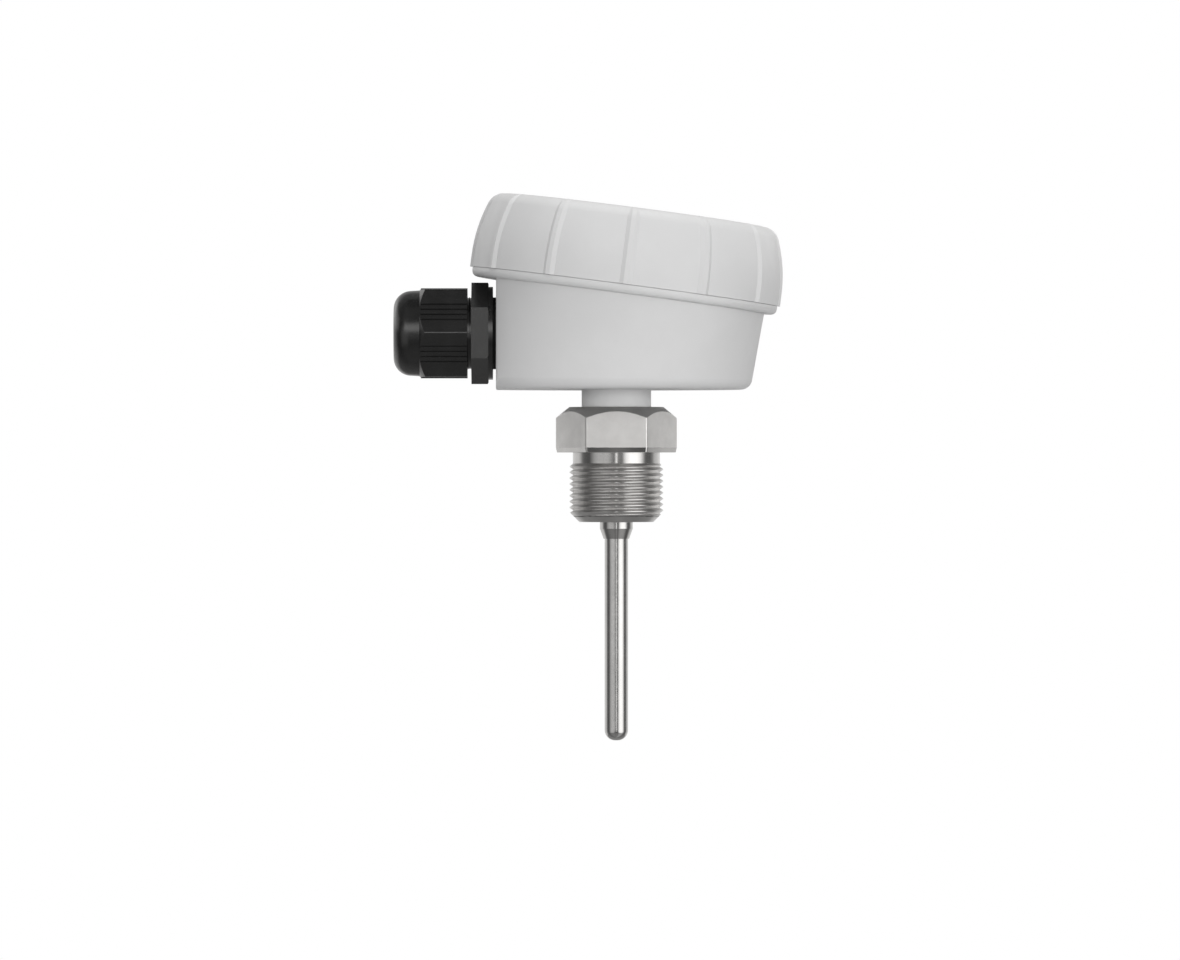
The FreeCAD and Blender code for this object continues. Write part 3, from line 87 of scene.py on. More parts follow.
camera_data = bpy.data.cameras.new("camera")
camera_data.sensor_fit = "HORIZONTAL"
camera_data.sensor_width = 36.0
camera_data.lens = camera_data.sensor_width * CAMERA_DISTANCE / FIELD_WIDTH
camera_data.clip_end = 20.0
camera = bpy.data.objects.new("camera", camera_data)
scene.collection.objects.link(camera)
camera.location = FIELD_CENTRE + Vector((0.0, -CAMERA_DISTANCE, 0.0))
camera.rotation_euler = (math.pi / 2, 0.0, 0.0)
scene.camera = camera
field_height = FIELD_WIDTH * PHOTO_HEIGHT / PHOTO_WIDTH
print("lens:", round(camera_data.lens), "mm; field:", round(field_height / MM), "mm high")

# %% [markdown]
# ## Light
#
# Grey plastic shows its shape by soft shading, so it is lit by large lamps: one in front and a little to
# the right, a weaker one on each side, and one overhead. The ones round it are wide and low, level with the
# neck, so that the head's overhang leaves no shadow there. They are hidden from reflections, because steel
# would show them as hard squares.

# %% Lamps
middle = (cad_low + cad_high) / 2


def add_panel(name, place, width, height, power):
    """A soft rectangular lamp, aimed at the middle of the object."""
    data = bpy.data.lights.new(name, "AREA")
    data.shape = "RECTANGLE"
    data.size = width
    data.size_y = height
    data.energy = power
    lamp = bpy.data.objects.new(name, data)
    scene.collection.objects.link(lamp)
    lamp.location = place
    lamp.rotation_euler = (middle - Vector(place)).to_track_quat("-Z", "Y").to_euler()
    lamp.visible_camera = False
    lamp.visible_glossy = False


add_panel("front_lamp", (0.38, -1.75, 0.0), width=1.0, height=0.35, power=20.0)
add_panel("right_lamp", (1.5, -0.5, 0.0), width=0.9, height=0.35, power=3.2)
add_panel("left_lamp", (-1.5, -0.6, 0.0), width=0.9, height=0.35, power=2.8)
add_panel("top_lamp", (0.0, 0.1, 1.5), width=1.2, height=1.2, power=16.5)

# %% [markdown]
# ## Room
#
# What polished steel shows is the room. Upright bands on the stem and on the relief over the thread are the
# room's bright and dark sides, seen in a round mirror: a wide window to the right, dark gaps at both sides,
# and a narrow lamp by the camera. A picture of a room could be wrapped round the scene, but bands drawn by
# compass direction can be set one by one. Only reflections see them. The eye sees plain white, and the
# plastic gets a weak, soft light, most of it from above.
#
# Every node in this lesson is added by one helper, which also fills or links the node's inputs.

# %% Compass and height of a direction


def put(tree, kind, inputs=None, **settings):
    """Add a node with its settings. An input is a plain value, or the output that it is linked to."""
    node = tree.nodes.new(kind)
    for key, value in settings.items():
        setattr(node, key, value)
    for key, value in (inputs or {}).items():
        if isinstance(value, bpy.types.NodeSocket):
            tree.links.new(value, node.inputs[key])
        else:
            node.inputs[key].default_value = value
    return node


def calculate(tree, operation, first, second=0.0, third=0.0):
    """The output of a Math node."""
    node = put(tree, "ShaderNodeMath", {0: first, 1: second, 2: third}, operation=operation)
    return node.outputs["Value"]


def split(tree, vector):
    """The X, Y and Z of a place or a direction."""
    return put(tree, "ShaderNodeSeparateXYZ", {"Vector": vector}).outputs


world = bpy.data.worlds.new("surroundings")
scene.world = world
world.use_nodes = True
tree = world.node_tree
tree.nodes.clear()
direction = split(tree, put(tree, "ShaderNodeTexCoord").outputs["Generated"])
to_camera = calculate(tree, "MULTIPLY", direction["Y"], -1.0)
compass = calculate(tree, "ARCTAN2", direction["X"], to_camera)
rise = direction["Z"]
print("compass and rise:", len(tree.nodes), "nodes")

# %% Bands round the room, by degrees from the camera's side
ROOM_BANDS = [
    (-180, 0.80), (-122, 0.77), (-112, 0.60), (-102, 0.22), (-94, 0.13), (-76, 0.10), (-68, 0.28),
    (-60, 0.48), (-48, 0.60), (-24, 0.58), (-15, 0.42), (-9, 0.20), (-3, 0.22), (-1.5, 1.30), (1.5, 1.30),
    (3, 0.24), (16, 0.19), (20, 0.70), (27, 1.28), (38, 1.60), (58, 1.60), (68, 1.20), (78, 0.42),
    (84, 0.14), (100, 0.12), (110, 0.24), (122, 0.62), (150, 0.84), (180, 0.80),
]
ROOM_PEAK = 1.9


def room_levels(value, limit, stops):
    """The room's brightness from stops of (place, level), for a value between minus and plus the limit."""
    share = calculate(tree, "MULTIPLY_ADD", value, 0.5 / limit, 0.5)
    node = put(tree, "ShaderNodeValToRGB", {"Fac": share})
    ramp = node.color_ramp
    while len(ramp.elements) < len(stops):
        ramp.elements.new(0.5)
    last = stops[-1][0]
    for stop, (place, level) in zip(ramp.elements, stops):
        stop.position = (place + last) / (2 * last)
        stop.color = (level / ROOM_PEAK, level / ROOM_PEAK, level / ROOM_PEAK, 1.0)
    return calculate(tree, "MULTIPLY", node.outputs["Color"], ROOM_PEAK)


bands = room_levels(compass, math.pi, ROOM_BANDS)
print("bands:", len(ROOM_BANDS))

# %% [markdown]
# High up and far down the room is dim, so faces that lean up or down look darker. The bands could simply be
# cut off there, but a smooth step on the height, from the bands to dim levels, leaves no hard line. On the
# camera's own side the dimness begins just under the horizon, which darkens the hexagon's lower slope.
# Elsewhere it begins lower, so that the stem still shines when it is seen from above.

# %% Dim ceiling and ground
ROOM_LEVELS = [
    (-1.0, 0.24), (-0.66, 0.25), (-0.40, 0.13), (0.40, 0.18), (0.66, 0.24), (0.94, 0.22), (0.965, 0.05),
    (1.0, 0.05),
]
TRACE_OF_BANDS, LEAST_SHARE = 0.7, 0.62
CEILING = (0.12, 0.40)
GROUND = (-0.36, -0.58)
GROUND_BY_CAMERA = (-0.12, -0.40)
CAMERA_SIDE = (math.radians(16), math.radians(24))


def fade(tree, value, low, high, to_low=0.0, to_high=1.0):
    """A value carried smoothly from one range to another."""
    node = put(tree, "ShaderNodeMapRange", {
        "Value": value, "From Min": low, "From Max": high, "To Min": to_low, "To Max": to_high,
    }, interpolation_type="SMOOTHSTEP")
    return node.outputs["Result"]


def mix_numbers(tree, mask, first, second):
    """The first number where the mask is 0, the second where it is 1."""
    node = put(tree, "ShaderNodeMix", {0: mask, 2: first, 3: second}, data_type="FLOAT")
    return node.outputs[0]


dim = room_levels(rise, 1.0, ROOM_LEVELS)
dim = calculate(tree, "MULTIPLY", dim, calculate(tree, "MULTIPLY_ADD", bands, TRACE_OF_BANDS, LEAST_SHARE))
by_camera = fade(tree, calculate(tree, "ABSOLUTE", compass), *CAMERA_SIDE, 1.0, 0.0)
below = mix_numbers(tree, by_camera, fade(tree, rise, *GROUND), fade(tree, rise, *GROUND_BY_CAMERA))
above = fade(tree, rise, *CEILING)
strength = mix_numbers(tree, calculate(tree, "MAXIMUM", above, below), bands, dim)
print("levels:", len(ROOM_LEVELS))

# %% [markdown]
# Faces that are satin rather than polished gather light from a wide angle, and in a studio that light comes
# off white cards. They could be planes that hang in the scene, but as soft patches of the room, just over
# the horizon, they cast no shadows and need no objects. The list gives each card's compass angle and half
# width in degrees, its level, and the heights of its lower and upper edge.

# %% White cards over the horizon
CARDS = [
    (0, 57, 1.8, 0.08, 0.43), (120, 40, 1.5, 0.08, 0.43), (-120, 40, 0.75, 0.08, 0.43),
    (180, 50, 0.25, 0.20, 0.62), (-180, 50, 0.25, 0.20, 0.62),
]
CARD_CORE = 0.6
LOWER_BLUR = (-0.05, 0.06)
UPPER_BLUR = (-0.07, 0.07)

for angle, half_width, level, bottom, top in CARDS:
    off_middle = calculate(tree, "ABSOLUTE", calculate(tree, "SUBTRACT", compass, math.radians(angle)))
    edge = math.radians(half_width)
    card = fade(tree, off_middle, edge * CARD_CORE, edge, level, 0.0)
    over_bottom = fade(tree, rise, bottom + LOWER_BLUR[0], bottom + LOWER_BLUR[1])
    under_top = fade(tree, rise, top + UPPER_BLUR[0], top + UPPER_BLUR[1], 1.0, 0.0)
    card = calculate(tree, "MULTIPLY", card, calculate(tree, "MULTIPLY", over_bottom, under_top))
    strength = calculate(tree, "ADD", strength, card)
print("cards:", len(CARDS))

# %% Which rays see what
LIGHT_FROM_BELOW, LIGHT_FROM_ABOVE = 0.14, 0.45
overcast = fade(tree, rise, -0.4, 0.4, LIGHT_FROM_BELOW, LIGHT_FROM_ABOVE)
room = put(tree, "ShaderNodeBackground", {"Color": (1.0, 0.995, 0.985, 1.0), "Strength": strength})
ambient = put(tree, "ShaderNodeBackground", {"Color": (0.985, 0.985, 0.99, 1.0), "Strength": overcast})
seen = put(tree, "ShaderNodeBackground", {"Color": (1.0, 1.0, 1.0, 1.0), "Strength": 1.0})
path = put(tree, "ShaderNodeLightPath")
reflections = put(tree, "ShaderNodeMixShader", {
    "Fac": path.outputs["Is Glossy Ray"], 1: ambient.outputs["Background"], 2: room.outputs["Background"],
})
eye = put(tree, "ShaderNodeMixShader", {
    "Fac": path.outputs["Is Camera Ray"], 1: reflections.outputs["Shader"], 2: seen.outputs["Background"],
})
put(tree, "ShaderNodeOutputWorld", {"Surface": eye.outputs["Shader"]})
print("surroundings:", len(tree.nodes), "nodes")

# %% [markdown]
# ## Floor
#
# The probe hangs clear of a plain pale floor, as a part held by its thread does. A bare plane would end in
# a hard line, so the floor starts as a filled circle, and its rim is drawn out and down: it reads as a low
# round plinth from above. It lies below the camera's view.

# %% Floor
FLOOR_LEVEL = -260.0 * MM
FLOOR_RADIUS = 260.0 * MM
PLINTH_HEIGHT = 10.0 * MM
FLARE = 1.04

bpy.ops.object.select_all(action="DESELECT")
bpy.ops.mesh.primitive_circle_add(
    vertices=96, radius=FLOOR_RADIUS, fill_type="NGON", location=(0.0, 0.0, FLOOR_LEVEL),
)
floor = bpy.context.active_object
floor.name = "floor"
bpy.ops.object.mode_set(mode="EDIT")
bpy.ops.mesh.select_mode(type="EDGE")
bpy.ops.mesh.region_to_loop()
bpy.ops.mesh.extrude_edges_move(TRANSFORM_OT_translate={"value": (0.0, 0.0, -PLINTH_HEIGHT)})
bpy.ops.transform.resize(value=(FLARE, FLARE, 1.0), center_override=(0.0, 0.0, FLOOR_LEVEL))
bpy.ops.object.mode_set(mode="OBJECT")
bpy.ops.object.transform_apply(location=True, rotation=True, scale=True)
floor.visible_glossy = False
floor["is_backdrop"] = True
print("floor faces:", len(floor.data.polygons))

# %% Pale floor finish


def mix_colours(tree, mask, first, second):
    """The first colour where the mask is 0, the second where it is 1."""
    node = put(tree, "ShaderNodeMix", {0: mask, 6: first, 7: second}, data_type="RGBA")
    return node.outputs[2]


floor_material = bpy.data.materials.new("pale_floor")
floor_material.use_nodes = True
tree = floor_material.node_tree
shader = tree.nodes["Principled BSDF"]
place = put(tree, "ShaderNodeTexCoord").outputs["Object"]
cloud = put(tree, "ShaderNodeTexNoise", {"Vector": place, "Scale": 9.0, "Detail": 3.0})
tint = mix_colours(tree, cloud.outputs["Fac"], (0.78, 0.78, 0.78, 1.0), (0.82, 0.82, 0.82, 1.0))
tree.links.new(tint, shader.inputs["Base Color"])
shader.inputs["Roughness"].default_value = 0.9
floor.data.materials.append(floor_material)
print(floor_material.name, len(tree.nodes), "nodes")

# %% [markdown]
# ## Turned shapes
#
# The fitting's shank, relief and spigot were turned on a lathe. Stacked cylinders could stand for them, but
# they would leave walls inside each other. In Blender a lathe is Spin: half of the outline is drawn as a
# chain of points beside the axis, and carried once round it. The chain starts as a plane that is merged to
# one point, and each further corner is extruded from the last. Where the ends meet, the doubled points are
# merged, so that the shell is closed.

# %% Draw half of the fitting's outline
MERGE = 0.001 * MM
TUBE_BORE = 3.03
COLLAR = 4.225
SHANK_END = -15.0
THREAD_ROOT = 11.08
RELIEF = 11.15
SPIGOT, SPIGOT_ROOT = 6.0, 5.42


def draw_outline(name, corners):
    """A chain of edges through (radius, height) corners in millimetres, left selected in edit mode."""
    bpy.ops.object.select_all(action="DESELECT")
    bpy.ops.mesh.primitive_plane_add(size=MM, location=(0.0, 0.0, 0.0))
    piece = bpy.context.active_object
    piece.name = name
    bpy.ops.object.mode_set(mode="EDIT")
    bpy.ops.mesh.select_mode(type="VERT")
    bpy.ops.mesh.select_all(action="SELECT")
    bpy.ops.mesh.merge(type="CENTER")
    bpy.ops.transform.translate(value=(corners[0][0] * MM, 0.0, corners[0][1] * MM))
    for (radius, height), (next_radius, next_height) in zip(corners, corners[1:]):
        step = ((next_radius - radius) * MM, 0.0, (next_height - height) * MM)
        bpy.ops.mesh.extrude_region_move(TRANSFORM_OT_translate={"value": step})
    bpy.ops.mesh.select_all(action="SELECT")
    bpy.ops.mesh.remove_doubles(threshold=MERGE)
    return piece


fitting = draw_outline("process_fitting_cut", [
    (TUBE_BORE, -19.3), (3.28, -19.3), (COLLAR, -16.7), (COLLAR, SHANK_END), (9.35, SHANK_END),
    (9.55, -14.9), (THREAD_ROOT, -13.37), (THREAD_ROOT, -0.04), (RELIEF, 0.0), (RELIEF, 3.2),
    (SPIGOT, 3.2), (SPIGOT, 21.5), (SPIGOT_ROOT, 22.1), (SPIGOT_ROOT, 27.05), (5.07, 27.4),
    (TUBE_BORE, 27.4), (TUBE_BORE, -19.3),
])
print("outline drawn for", fitting.name)

# %% Carry the outline round the axis


def close_shell():
    """Merge doubled points, turn all faces outwards and leave edit mode."""
    bpy.ops.mesh.select_all(action="SELECT")
    bpy.ops.mesh.remove_doubles(threshold=MERGE)
    bpy.ops.mesh.normals_make_consistent(inside=False)
    bpy.ops.object.mode_set(mode="OBJECT")


def spin_round(steps):
    """Carry the outline that was just drawn once round the upright axis, as a closed shell."""
    bpy.ops.mesh.spin(steps=steps, angle=2 * math.pi, center=(0, 0, 0), axis=(0, 0, 1))
    close_shell()


def tell(piece):
    """Print how many faces a piece has, and how many edges don't have two. A closed shell has none."""
    count = {}
    for face in piece.data.polygons:
        for key in face.edge_keys:
            count[key] = count.get(key, 0) + 1
    loose = sum(1 for value in count.values() if value != 2)
    print(piece.name, "faces:", len(piece.data.polygons), "open edges:", loose)


spin_round(steps=128)
tell(fitting)

# %% [markdown]
# ## Hexagon
#
# The hexagon is a piece of hexagon bar whose top corners were turned off to a cone, which leaves the
# curved edge on each flat. A six-sided prism gives the bar. A cut round it, and a smaller lower end, give
# the narrow slope under each flat, and its upright edges are bevelled in edit mode. The curved edges could
# be drawn by hand, but a turned ring, wider than the corners and with the cone on top, gives them as the
# lathe did: the bar keeps only what it has in common with the ring.

# %% Hexagon bar
FLATS = 27.0
CORNERS = FLATS / math.sqrt(3)
HEXAGON_BOTTOM, HEXAGON_TOP = 2.8, 14.45

bpy.ops.object.select_all(action="DESELECT")
bpy.ops.mesh.primitive_cylinder_add(
    vertices=6, radius=CORNERS * MM, depth=(HEXAGON_TOP - HEXAGON_BOTTOM) * MM,
    location=(0.0, 0.0, (HEXAGON_TOP + HEXAGON_BOTTOM) / 2 * MM),
)
hexagon = bpy.context.active_object
hexagon.name = "hexagon"
bpy.ops.object.transform_apply(location=True, rotation=True, scale=True)
bpy.ops.object.mode_set(mode="EDIT")
bpy.ops.transform.rotate(value=math.radians(30), orient_axis="Z", center_override=(0.0, 0.0, 0.0))
print("bar:", FLATS, "mm across flats,", round(2 * CORNERS, 1), "mm across corners")

# %% Lower slope and rounded upright edges
SLOPE_HEIGHT, SLOPE_DEPTH = 1.25, 0.25
CORNER_ROUND = 0.35
SAME_HEIGHT = 0.1 * MM

bpy.ops.mesh.select_mode(type="EDGE")
bpy.ops.mesh.select_all(action="SELECT")
bpy.ops.mesh.bisect(plane_co=(0.0, 0.0, (HEXAGON_BOTTOM + SLOPE_HEIGHT) * MM), plane_no=(0.0, 0.0, 1.0))
bpy.ops.mesh.select_mode(type="VERT")
bpy.ops.mesh.select_all(action="DESELECT")
bpy.ops.object.mode_set(mode="OBJECT")
for vertex in hexagon.data.vertices:
    vertex.select = vertex.co.z < HEXAGON_BOTTOM * MM + SAME_HEIGHT
bpy.ops.object.mode_set(mode="EDIT")
taper = 1 - 2 * SLOPE_DEPTH / FLATS
bpy.ops.transform.resize(value=(taper, taper, 1.0), center_override=(0.0, 0.0, HEXAGON_BOTTOM * MM))
bpy.ops.mesh.select_mode(type="EDGE")
bpy.ops.mesh.select_all(action="DESELECT")
bpy.ops.object.mode_set(mode="OBJECT")
for edge in hexagon.data.edges:
    low, high = sorted(hexagon.data.vertices[index].co.z for index in edge.vertices)
    edge.select = high - low > SAME_HEIGHT
bpy.ops.object.mode_set(mode="EDIT")
bpy.ops.mesh.bevel(offset=CORNER_ROUND * MM, segments=6)
bpy.ops.object.mode_set(mode="OBJECT")
print("bar with slope and rounded edges:", len(hexagon.data.polygons), "faces")

# %% A ring with the crown's cone on top
CROWN_RADIUS, CROWN_ANGLE = 12.05, math.radians(39)
RING_BORE, RING_BOTTOM, RING_RADIUS = 5.0, 2.0, CORNERS + 1.0


def turn(name, corners, steps=128):
    """A closed shell turned about the upright axis."""
    piece = draw_outline(name, corners)
    spin_round(steps)
    return piece


cone_foot = HEXAGON_TOP - (RING_RADIUS - CROWN_RADIUS) * math.tan(CROWN_ANGLE)
crown = turn("crown", [
    (RING_BORE, RING_BOTTOM), (RING_RADIUS, RING_BOTTOM), (RING_RADIUS, cone_foot),
    (CROWN_RADIUS, HEXAGON_TOP), (RING_BORE, HEXAGON_TOP), (RING_BORE, RING_BOTTOM),
], steps=144)
tell(crown)

# %% Keep what the bar and the ring have in common
SLIVER = 0.002 * MM


def select_only(piece):
    """Select one piece and make it the active one."""
    bpy.ops.object.select_all(action="DESELECT")
    piece.select_set(True)
    bpy.context.view_layer.objects.active = piece


def clean_edges():
    """Dissolve the slivers that a cut or a bevel leaves on the active piece."""
    bpy.ops.object.mode_set(mode="EDIT")
    bpy.ops.mesh.select_all(action="SELECT")
    bpy.ops.mesh.dissolve_degenerate(threshold=SLIVER)
    close_shell()


def keep_common(piece, other):
    """Keep only what lies inside both shells, and remove the second."""
    select_only(piece)
    cut = piece.modifiers.new("keep_common", "BOOLEAN")
    cut.operation = "INTERSECT"
    cut.solver = "EXACT"
    cut.object = other
    bpy.ops.object.modifier_apply(modifier=cut.name)
    bpy.data.objects.remove(other, do_unlink=True)
    clean_edges()


keep_common(hexagon, crown)
tell(hexagon)

# %% Soften its edges, as tumbling does
rounding = hexagon.modifiers.new("soften", "BEVEL")
rounding.width = 0.1 * MM
rounding.segments = 2
rounding.limit_method = "ANGLE"
rounding.angle_limit = math.radians(28)
bpy.ops.object.modifier_apply(modifier=rounding.name)
clean_edges()
tell(hexagon)

# %% [markdown]
# ## Cut threads
#
# A thread is one ridge that climbs round the axis. Rings in a stack would look alike from the side, but
# they wouldn't climb or run out. The Screw modifier makes the real one: the ridge's section, a closed chain
# beside the axis, is carried round and lifted by one pitch a turn. The ends are filled, and what sticks out
# past the end chamfers is cut away against a turned blank, as a lathe tool would leave it. A right-hand
# thread climbs while it turns anticlockwise, seen from above.

# %% A climbing ridge


def climb(name, half, lead, start, turns, steps, first_turn=0.0):
    """A closed right-hand ridge that climbs by lead a turn, from the lower half of its section."""
    section = [*half, *[(radius, -height) for radius, height in reversed(half)], half[0]]
    piece = draw_outline(name, [(radius, height + start) for radius, height in section])
    if first_turn:
        bpy.ops.transform.rotate(value=-first_turn, orient_axis="Z", center_override=(0.0, 0.0, 0.0))
    bpy.ops.object.mode_set(mode="OBJECT")
    ridge = piece.modifiers.new("climb", "SCREW")
    ridge.axis = "Z"
    ridge.angle = 2 * math.pi
    ridge.screw_offset = lead * MM
    ridge.iterations = turns
    ridge.steps = steps
    ridge.render_steps = steps
    bpy.ops.object.modifier_apply(modifier=ridge.name)
    bpy.ops.object.mode_set(mode="EDIT")
    bpy.ops.mesh.select_all(action="SELECT")
    bpy.ops.mesh.remove_doubles(threshold=MERGE)
    bpy.ops.mesh.select_mode(type="EDGE")
    bpy.ops.mesh.select_all(action="DESELECT")
    bpy.ops.mesh.select_non_manifold()
    bpy.ops.mesh.fill_holes(sides=0)
    close_shell()
    return piece


process_thread = climb("process_thread", [
    (10.8, -0.74), (THREAD_ROOT, -0.70), (11.95, -0.13), (12.0, -0.09),
], lead=1.5, start=-16.505, turns=12, steps=120)
tell(process_thread)

# %% Process thread cut to its end chamfers, 24 mm with a pitch of 1.5 mm
keep_common(process_thread, turn("process_thread_blank", [
    (0.0, SHANK_END), (9.45, SHANK_END), (12.4, -12.05), (12.4, -1.2), (RELIEF, -0.02), (0.0, -0.02),
]))
tell(process_thread)

# %% Spigot thread, 12 mm with a pitch of 1 mm


def cut_thread(name, half, lead, start, turns, steps, blank, first_turn=0.0):
    """A climbing ridge, cut away where it sticks out of a turned blank."""
    ridge = climb(name, half, lead, start, turns, steps, first_turn)
    keep_common(ridge, turn(f"{name}_blank", blank))
    return ridge


spigot_thread = cut_thread(
    "spigot_thread", [(5.2, -0.42), (SPIGOT_ROOT, -0.37), (SPIGOT, -0.06)],
    lead=1.0, start=20.6, turns=8, steps=72,
    blank=[(0.0, 21.6), (5.3, 21.6), (6.4, 22.7), (6.4, 26.2), (5.3, 27.3), (0.0, 27.3)],
)
tell(spigot_thread)

# %% The finished fitting


def join_into(piece, others):
    """Make one object of several shells."""
    bpy.ops.object.select_all(action="DESELECT")
    for item in [*others, piece]:
        item.select_set(True)
    bpy.context.view_layer.objects.active = piece
    bpy.ops.object.join()


join_into(fitting, [hexagon, process_thread, spigot_thread])
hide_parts("process_fitting")
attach(fitting, "head")
tell(fitting)

# %% [markdown]
# ## Gland threads
#
# The gland's body has two moulded threads: one under the domed nut, seen when the nut is backed off, and
# one on the shank inside the head, past its locknut. They could be drawn along the gland's own axis, but
# the same climbing ridges serve: they are made upright and then laid on their side, so that up becomes out
# of the housing.

# %% Threads on the gland's body
GLAND_FACE = (-30.7, 0.0, 33.3)
GLAND_PITCH = 1.5


def set_down(piece, place, turned):
    """Turn a piece made about the upright axis and put it in its place, both kept in its mesh."""
    select_only(piece)
    piece.rotation_euler = turned
    piece.location = Vector(place) * MM
    bpy.ops.object.transform_apply(location=True, rotation=True, scale=True)


gland_threads = cut_thread(
    "gland_threads", [(8.8, -0.55), (9.1, -0.42), (9.24, -0.16)],
    lead=GLAND_PITCH, start=5.2, turns=8, steps=80,
    blank=[(0.0, 6.6), (9.0, 6.6), (9.6, 7.2), (9.6, 14.1), (9.0, 14.7), (0.0, 14.7)],
)
shank_thread = cut_thread(
    "gland_shank_thread", [(7.7, -0.55), (8.0, -0.42), (8.18, -0.14)],
    lead=GLAND_PITCH, start=-13.6, turns=5, steps=80,
    blank=[(0.0, -11.91), (7.8, -11.91), (8.5, -11.21), (8.5, -8.41), (7.8, -7.76), (0.0, -7.76)],
)
join_into(gland_threads, [shank_thread])
set_down(gland_threads, GLAND_FACE, (0.0, -math.pi / 2, 0.0))
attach(gland_threads, "head")
tell(gland_threads)

# %% [markdown]
# ## Lid threads
#
# A lid that comes off in a few turns has a steep thread with two starts: each ridge climbs 6 mm a turn,
# and the two lie half a turn apart. The ridges on the rim's collar and those inside the lid pass between
# each other, so the lid's are shifted by half the space between neighbours. They could be drawn tilted, but
# it is simpler to make them upright and tilt them with the rim.

# %% Ridges on the collar
RIM_CENTRE = (2.2, 0.0, 45.197)
RIM_TILT = math.radians(7.4)
LID_LEAD = 6.0


def two_starts(name, half, start, low, high, inner, outer):
    """Two ridges half a turn apart on the tilted rim, kept between two heights and two radii."""
    blank = [(inner, low), (outer, low), (outer, high), (inner, high), (inner, low)]
    first, second = [
        cut_thread(f"{name}_{index}", half, lead=LID_LEAD, start=start, turns=3, steps=120, blank=blank,
                   first_turn=math.pi * index)
        for index in range(2)
    ]
    join_into(first, [second])
    first.name = name
    set_down(first, RIM_CENTRE, (0.0, RIM_TILT, 0.0))
    return first


rim_thread = two_starts(
    "rim_thread", [(35.2, -0.8), (35.6, -0.62), (36.08, -0.38), (36.2, -0.22)],
    start=-4.0, low=1.4, high=7.6, inner=34.5, outer=37.5,
)
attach(rim_thread, "head")
tell(rim_thread)

# %% Ridges in the lid
lid_thread = two_starts(
    "lid_thread", [(37.0, -0.8), (36.12, -0.38), (36.0, -0.22)],
    start=-5.5, low=1.6, high=7.2, inner=35.0, outer=38.0,
)
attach(lid_thread, "lid_body")
tell(lid_thread)

# %% [markdown]
# ## Solder
#
# Each lead and each terminal pin is held in the board by a small solder cone that creeps up the metal and
# thins out to a rim on its pad. A plain cone would stand on the board like a toy, so one is turned from a
# hollow curve, and copied to the other places with a mesh of its own. The pins are soldered from below, so
# their cones hang upside down.

# %% Solder cones
BOARD_TOP, BOARD_UNDERSIDE = 34.1, 32.5
POLE = 2.54
PIN_PLACE = 15.5

cone = turn("solder_cone", [
    (0.0, -0.1), (1.15, -0.1), (1.15, 0.06), (0.98, 0.14), (0.8, 0.3), (0.68, 0.55), (0.6, 0.82),
    (0.5, 0.98), (0.0, 1.02),
], steps=32)


def copy_to(piece, name, place, upside_down=False):
    """A copy with its own mesh, in its place."""
    twin = piece.copy()
    twin.data = piece.data.copy()
    twin.name = name
    scene.collection.objects.link(twin)
    set_down(twin, place, (math.pi if upside_down else 0.0, 0.0, 0.0))
    return twin


solder = [
    copy_to(cone, "solder_lead_1", (0.0, -POLE, BOARD_TOP)),
    copy_to(cone, "solder_lead_2", (0.0, POLE, BOARD_TOP)),
    copy_to(cone, "solder_pin_1", (PIN_PLACE, -POLE, BOARD_UNDERSIDE), upside_down=True),
    copy_to(cone, "solder_pin_2", (PIN_PLACE, POLE, BOARD_UNDERSIDE), upside_down=True),
]
bpy.data.objects.remove(cone, do_unlink=True)
for piece in solder:
    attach(piece, "head")
    tell(piece)

# %% [markdown]
# Flat shading would show every small face of the new pieces, and smooth shading everywhere would blur real
# edges, so the angle between faces decides. On moulded ridges and solder, faces that meet at more than 30
# degrees keep their edge. On the fitting the limit is 11 degrees, so that each flat stays flat up to its
# lower slope.

# %% Smooth shading on the new pieces
FITTING_LIMIT, OTHER_LIMIT = math.radians(11), math.radians(30)
new_pieces = [fitting, gland_threads, rim_thread, lid_thread, *solder]
for piece in new_pieces:
    select_only(piece)
    bpy.ops.object.shade_smooth_by_angle(angle=FITTING_LIMIT if piece is fitting else OTHER_LIMIT)
print("smooth pieces:", len(new_pieces))

# %% [markdown]
# ## Shared surface effects
#
# No real surface is one flat colour. Moulded plastic has a fine grain from its mould and a faint
# cloudiness, turned steel has rings, drawn tube has lines along it, and dust settles on what faces up. Each
# effect could be drawn anew in every material, but as a node group it is built once, and placed wherever it
# is needed with its own values. Positions are Object coordinates in metres, so a scale of 1000 is one
# feature to the millimetre.

# %% Lines along a drawn tube or an extruded lead
COLOUR, NUMBER, DIRECTION = "NodeSocketColor", "NodeSocketFloat", "NodeSocketVector"


def start_group(name, inputs, outputs):
    """An empty effect with named inputs and outputs, and its two end nodes."""
    group = bpy.data.node_groups.new(name, "ShaderNodeTree")
    for title, kind in inputs.items():
        group.interface.new_socket(title, in_out="INPUT", socket_type=kind)
    for title, kind in outputs.items():
        group.interface.new_socket(title, in_out="OUTPUT", socket_type=kind)
    return group, put(group, "NodeGroupInput").outputs, put(group, "NodeGroupOutput").inputs


def noise(tree, vector, scale, detail, roughness=0.5):
    """The output of a soft noise over the surface."""
    node = put(tree, "ShaderNodeTexNoise", {
        "Vector": vector, "Scale": scale, "Detail": detail, "Roughness": roughness,
    })
    return node.outputs["Fac"]


PATTERN = {"Vector": DIRECTION, "Scale": NUMBER}
drawn, given, result = start_group("drawn_lines", PATTERN, {"Height": NUMBER})
stretched = put(drawn, "ShaderNodeMapping", {"Vector": given["Vector"], "Scale": (1.0, 1.0, 0.02)})
lines = noise(drawn, stretched.outputs["Vector"], given["Scale"], detail=3.0)
drawn.links.new(lines, result["Height"])
print(drawn.name, len(drawn.nodes), "nodes")

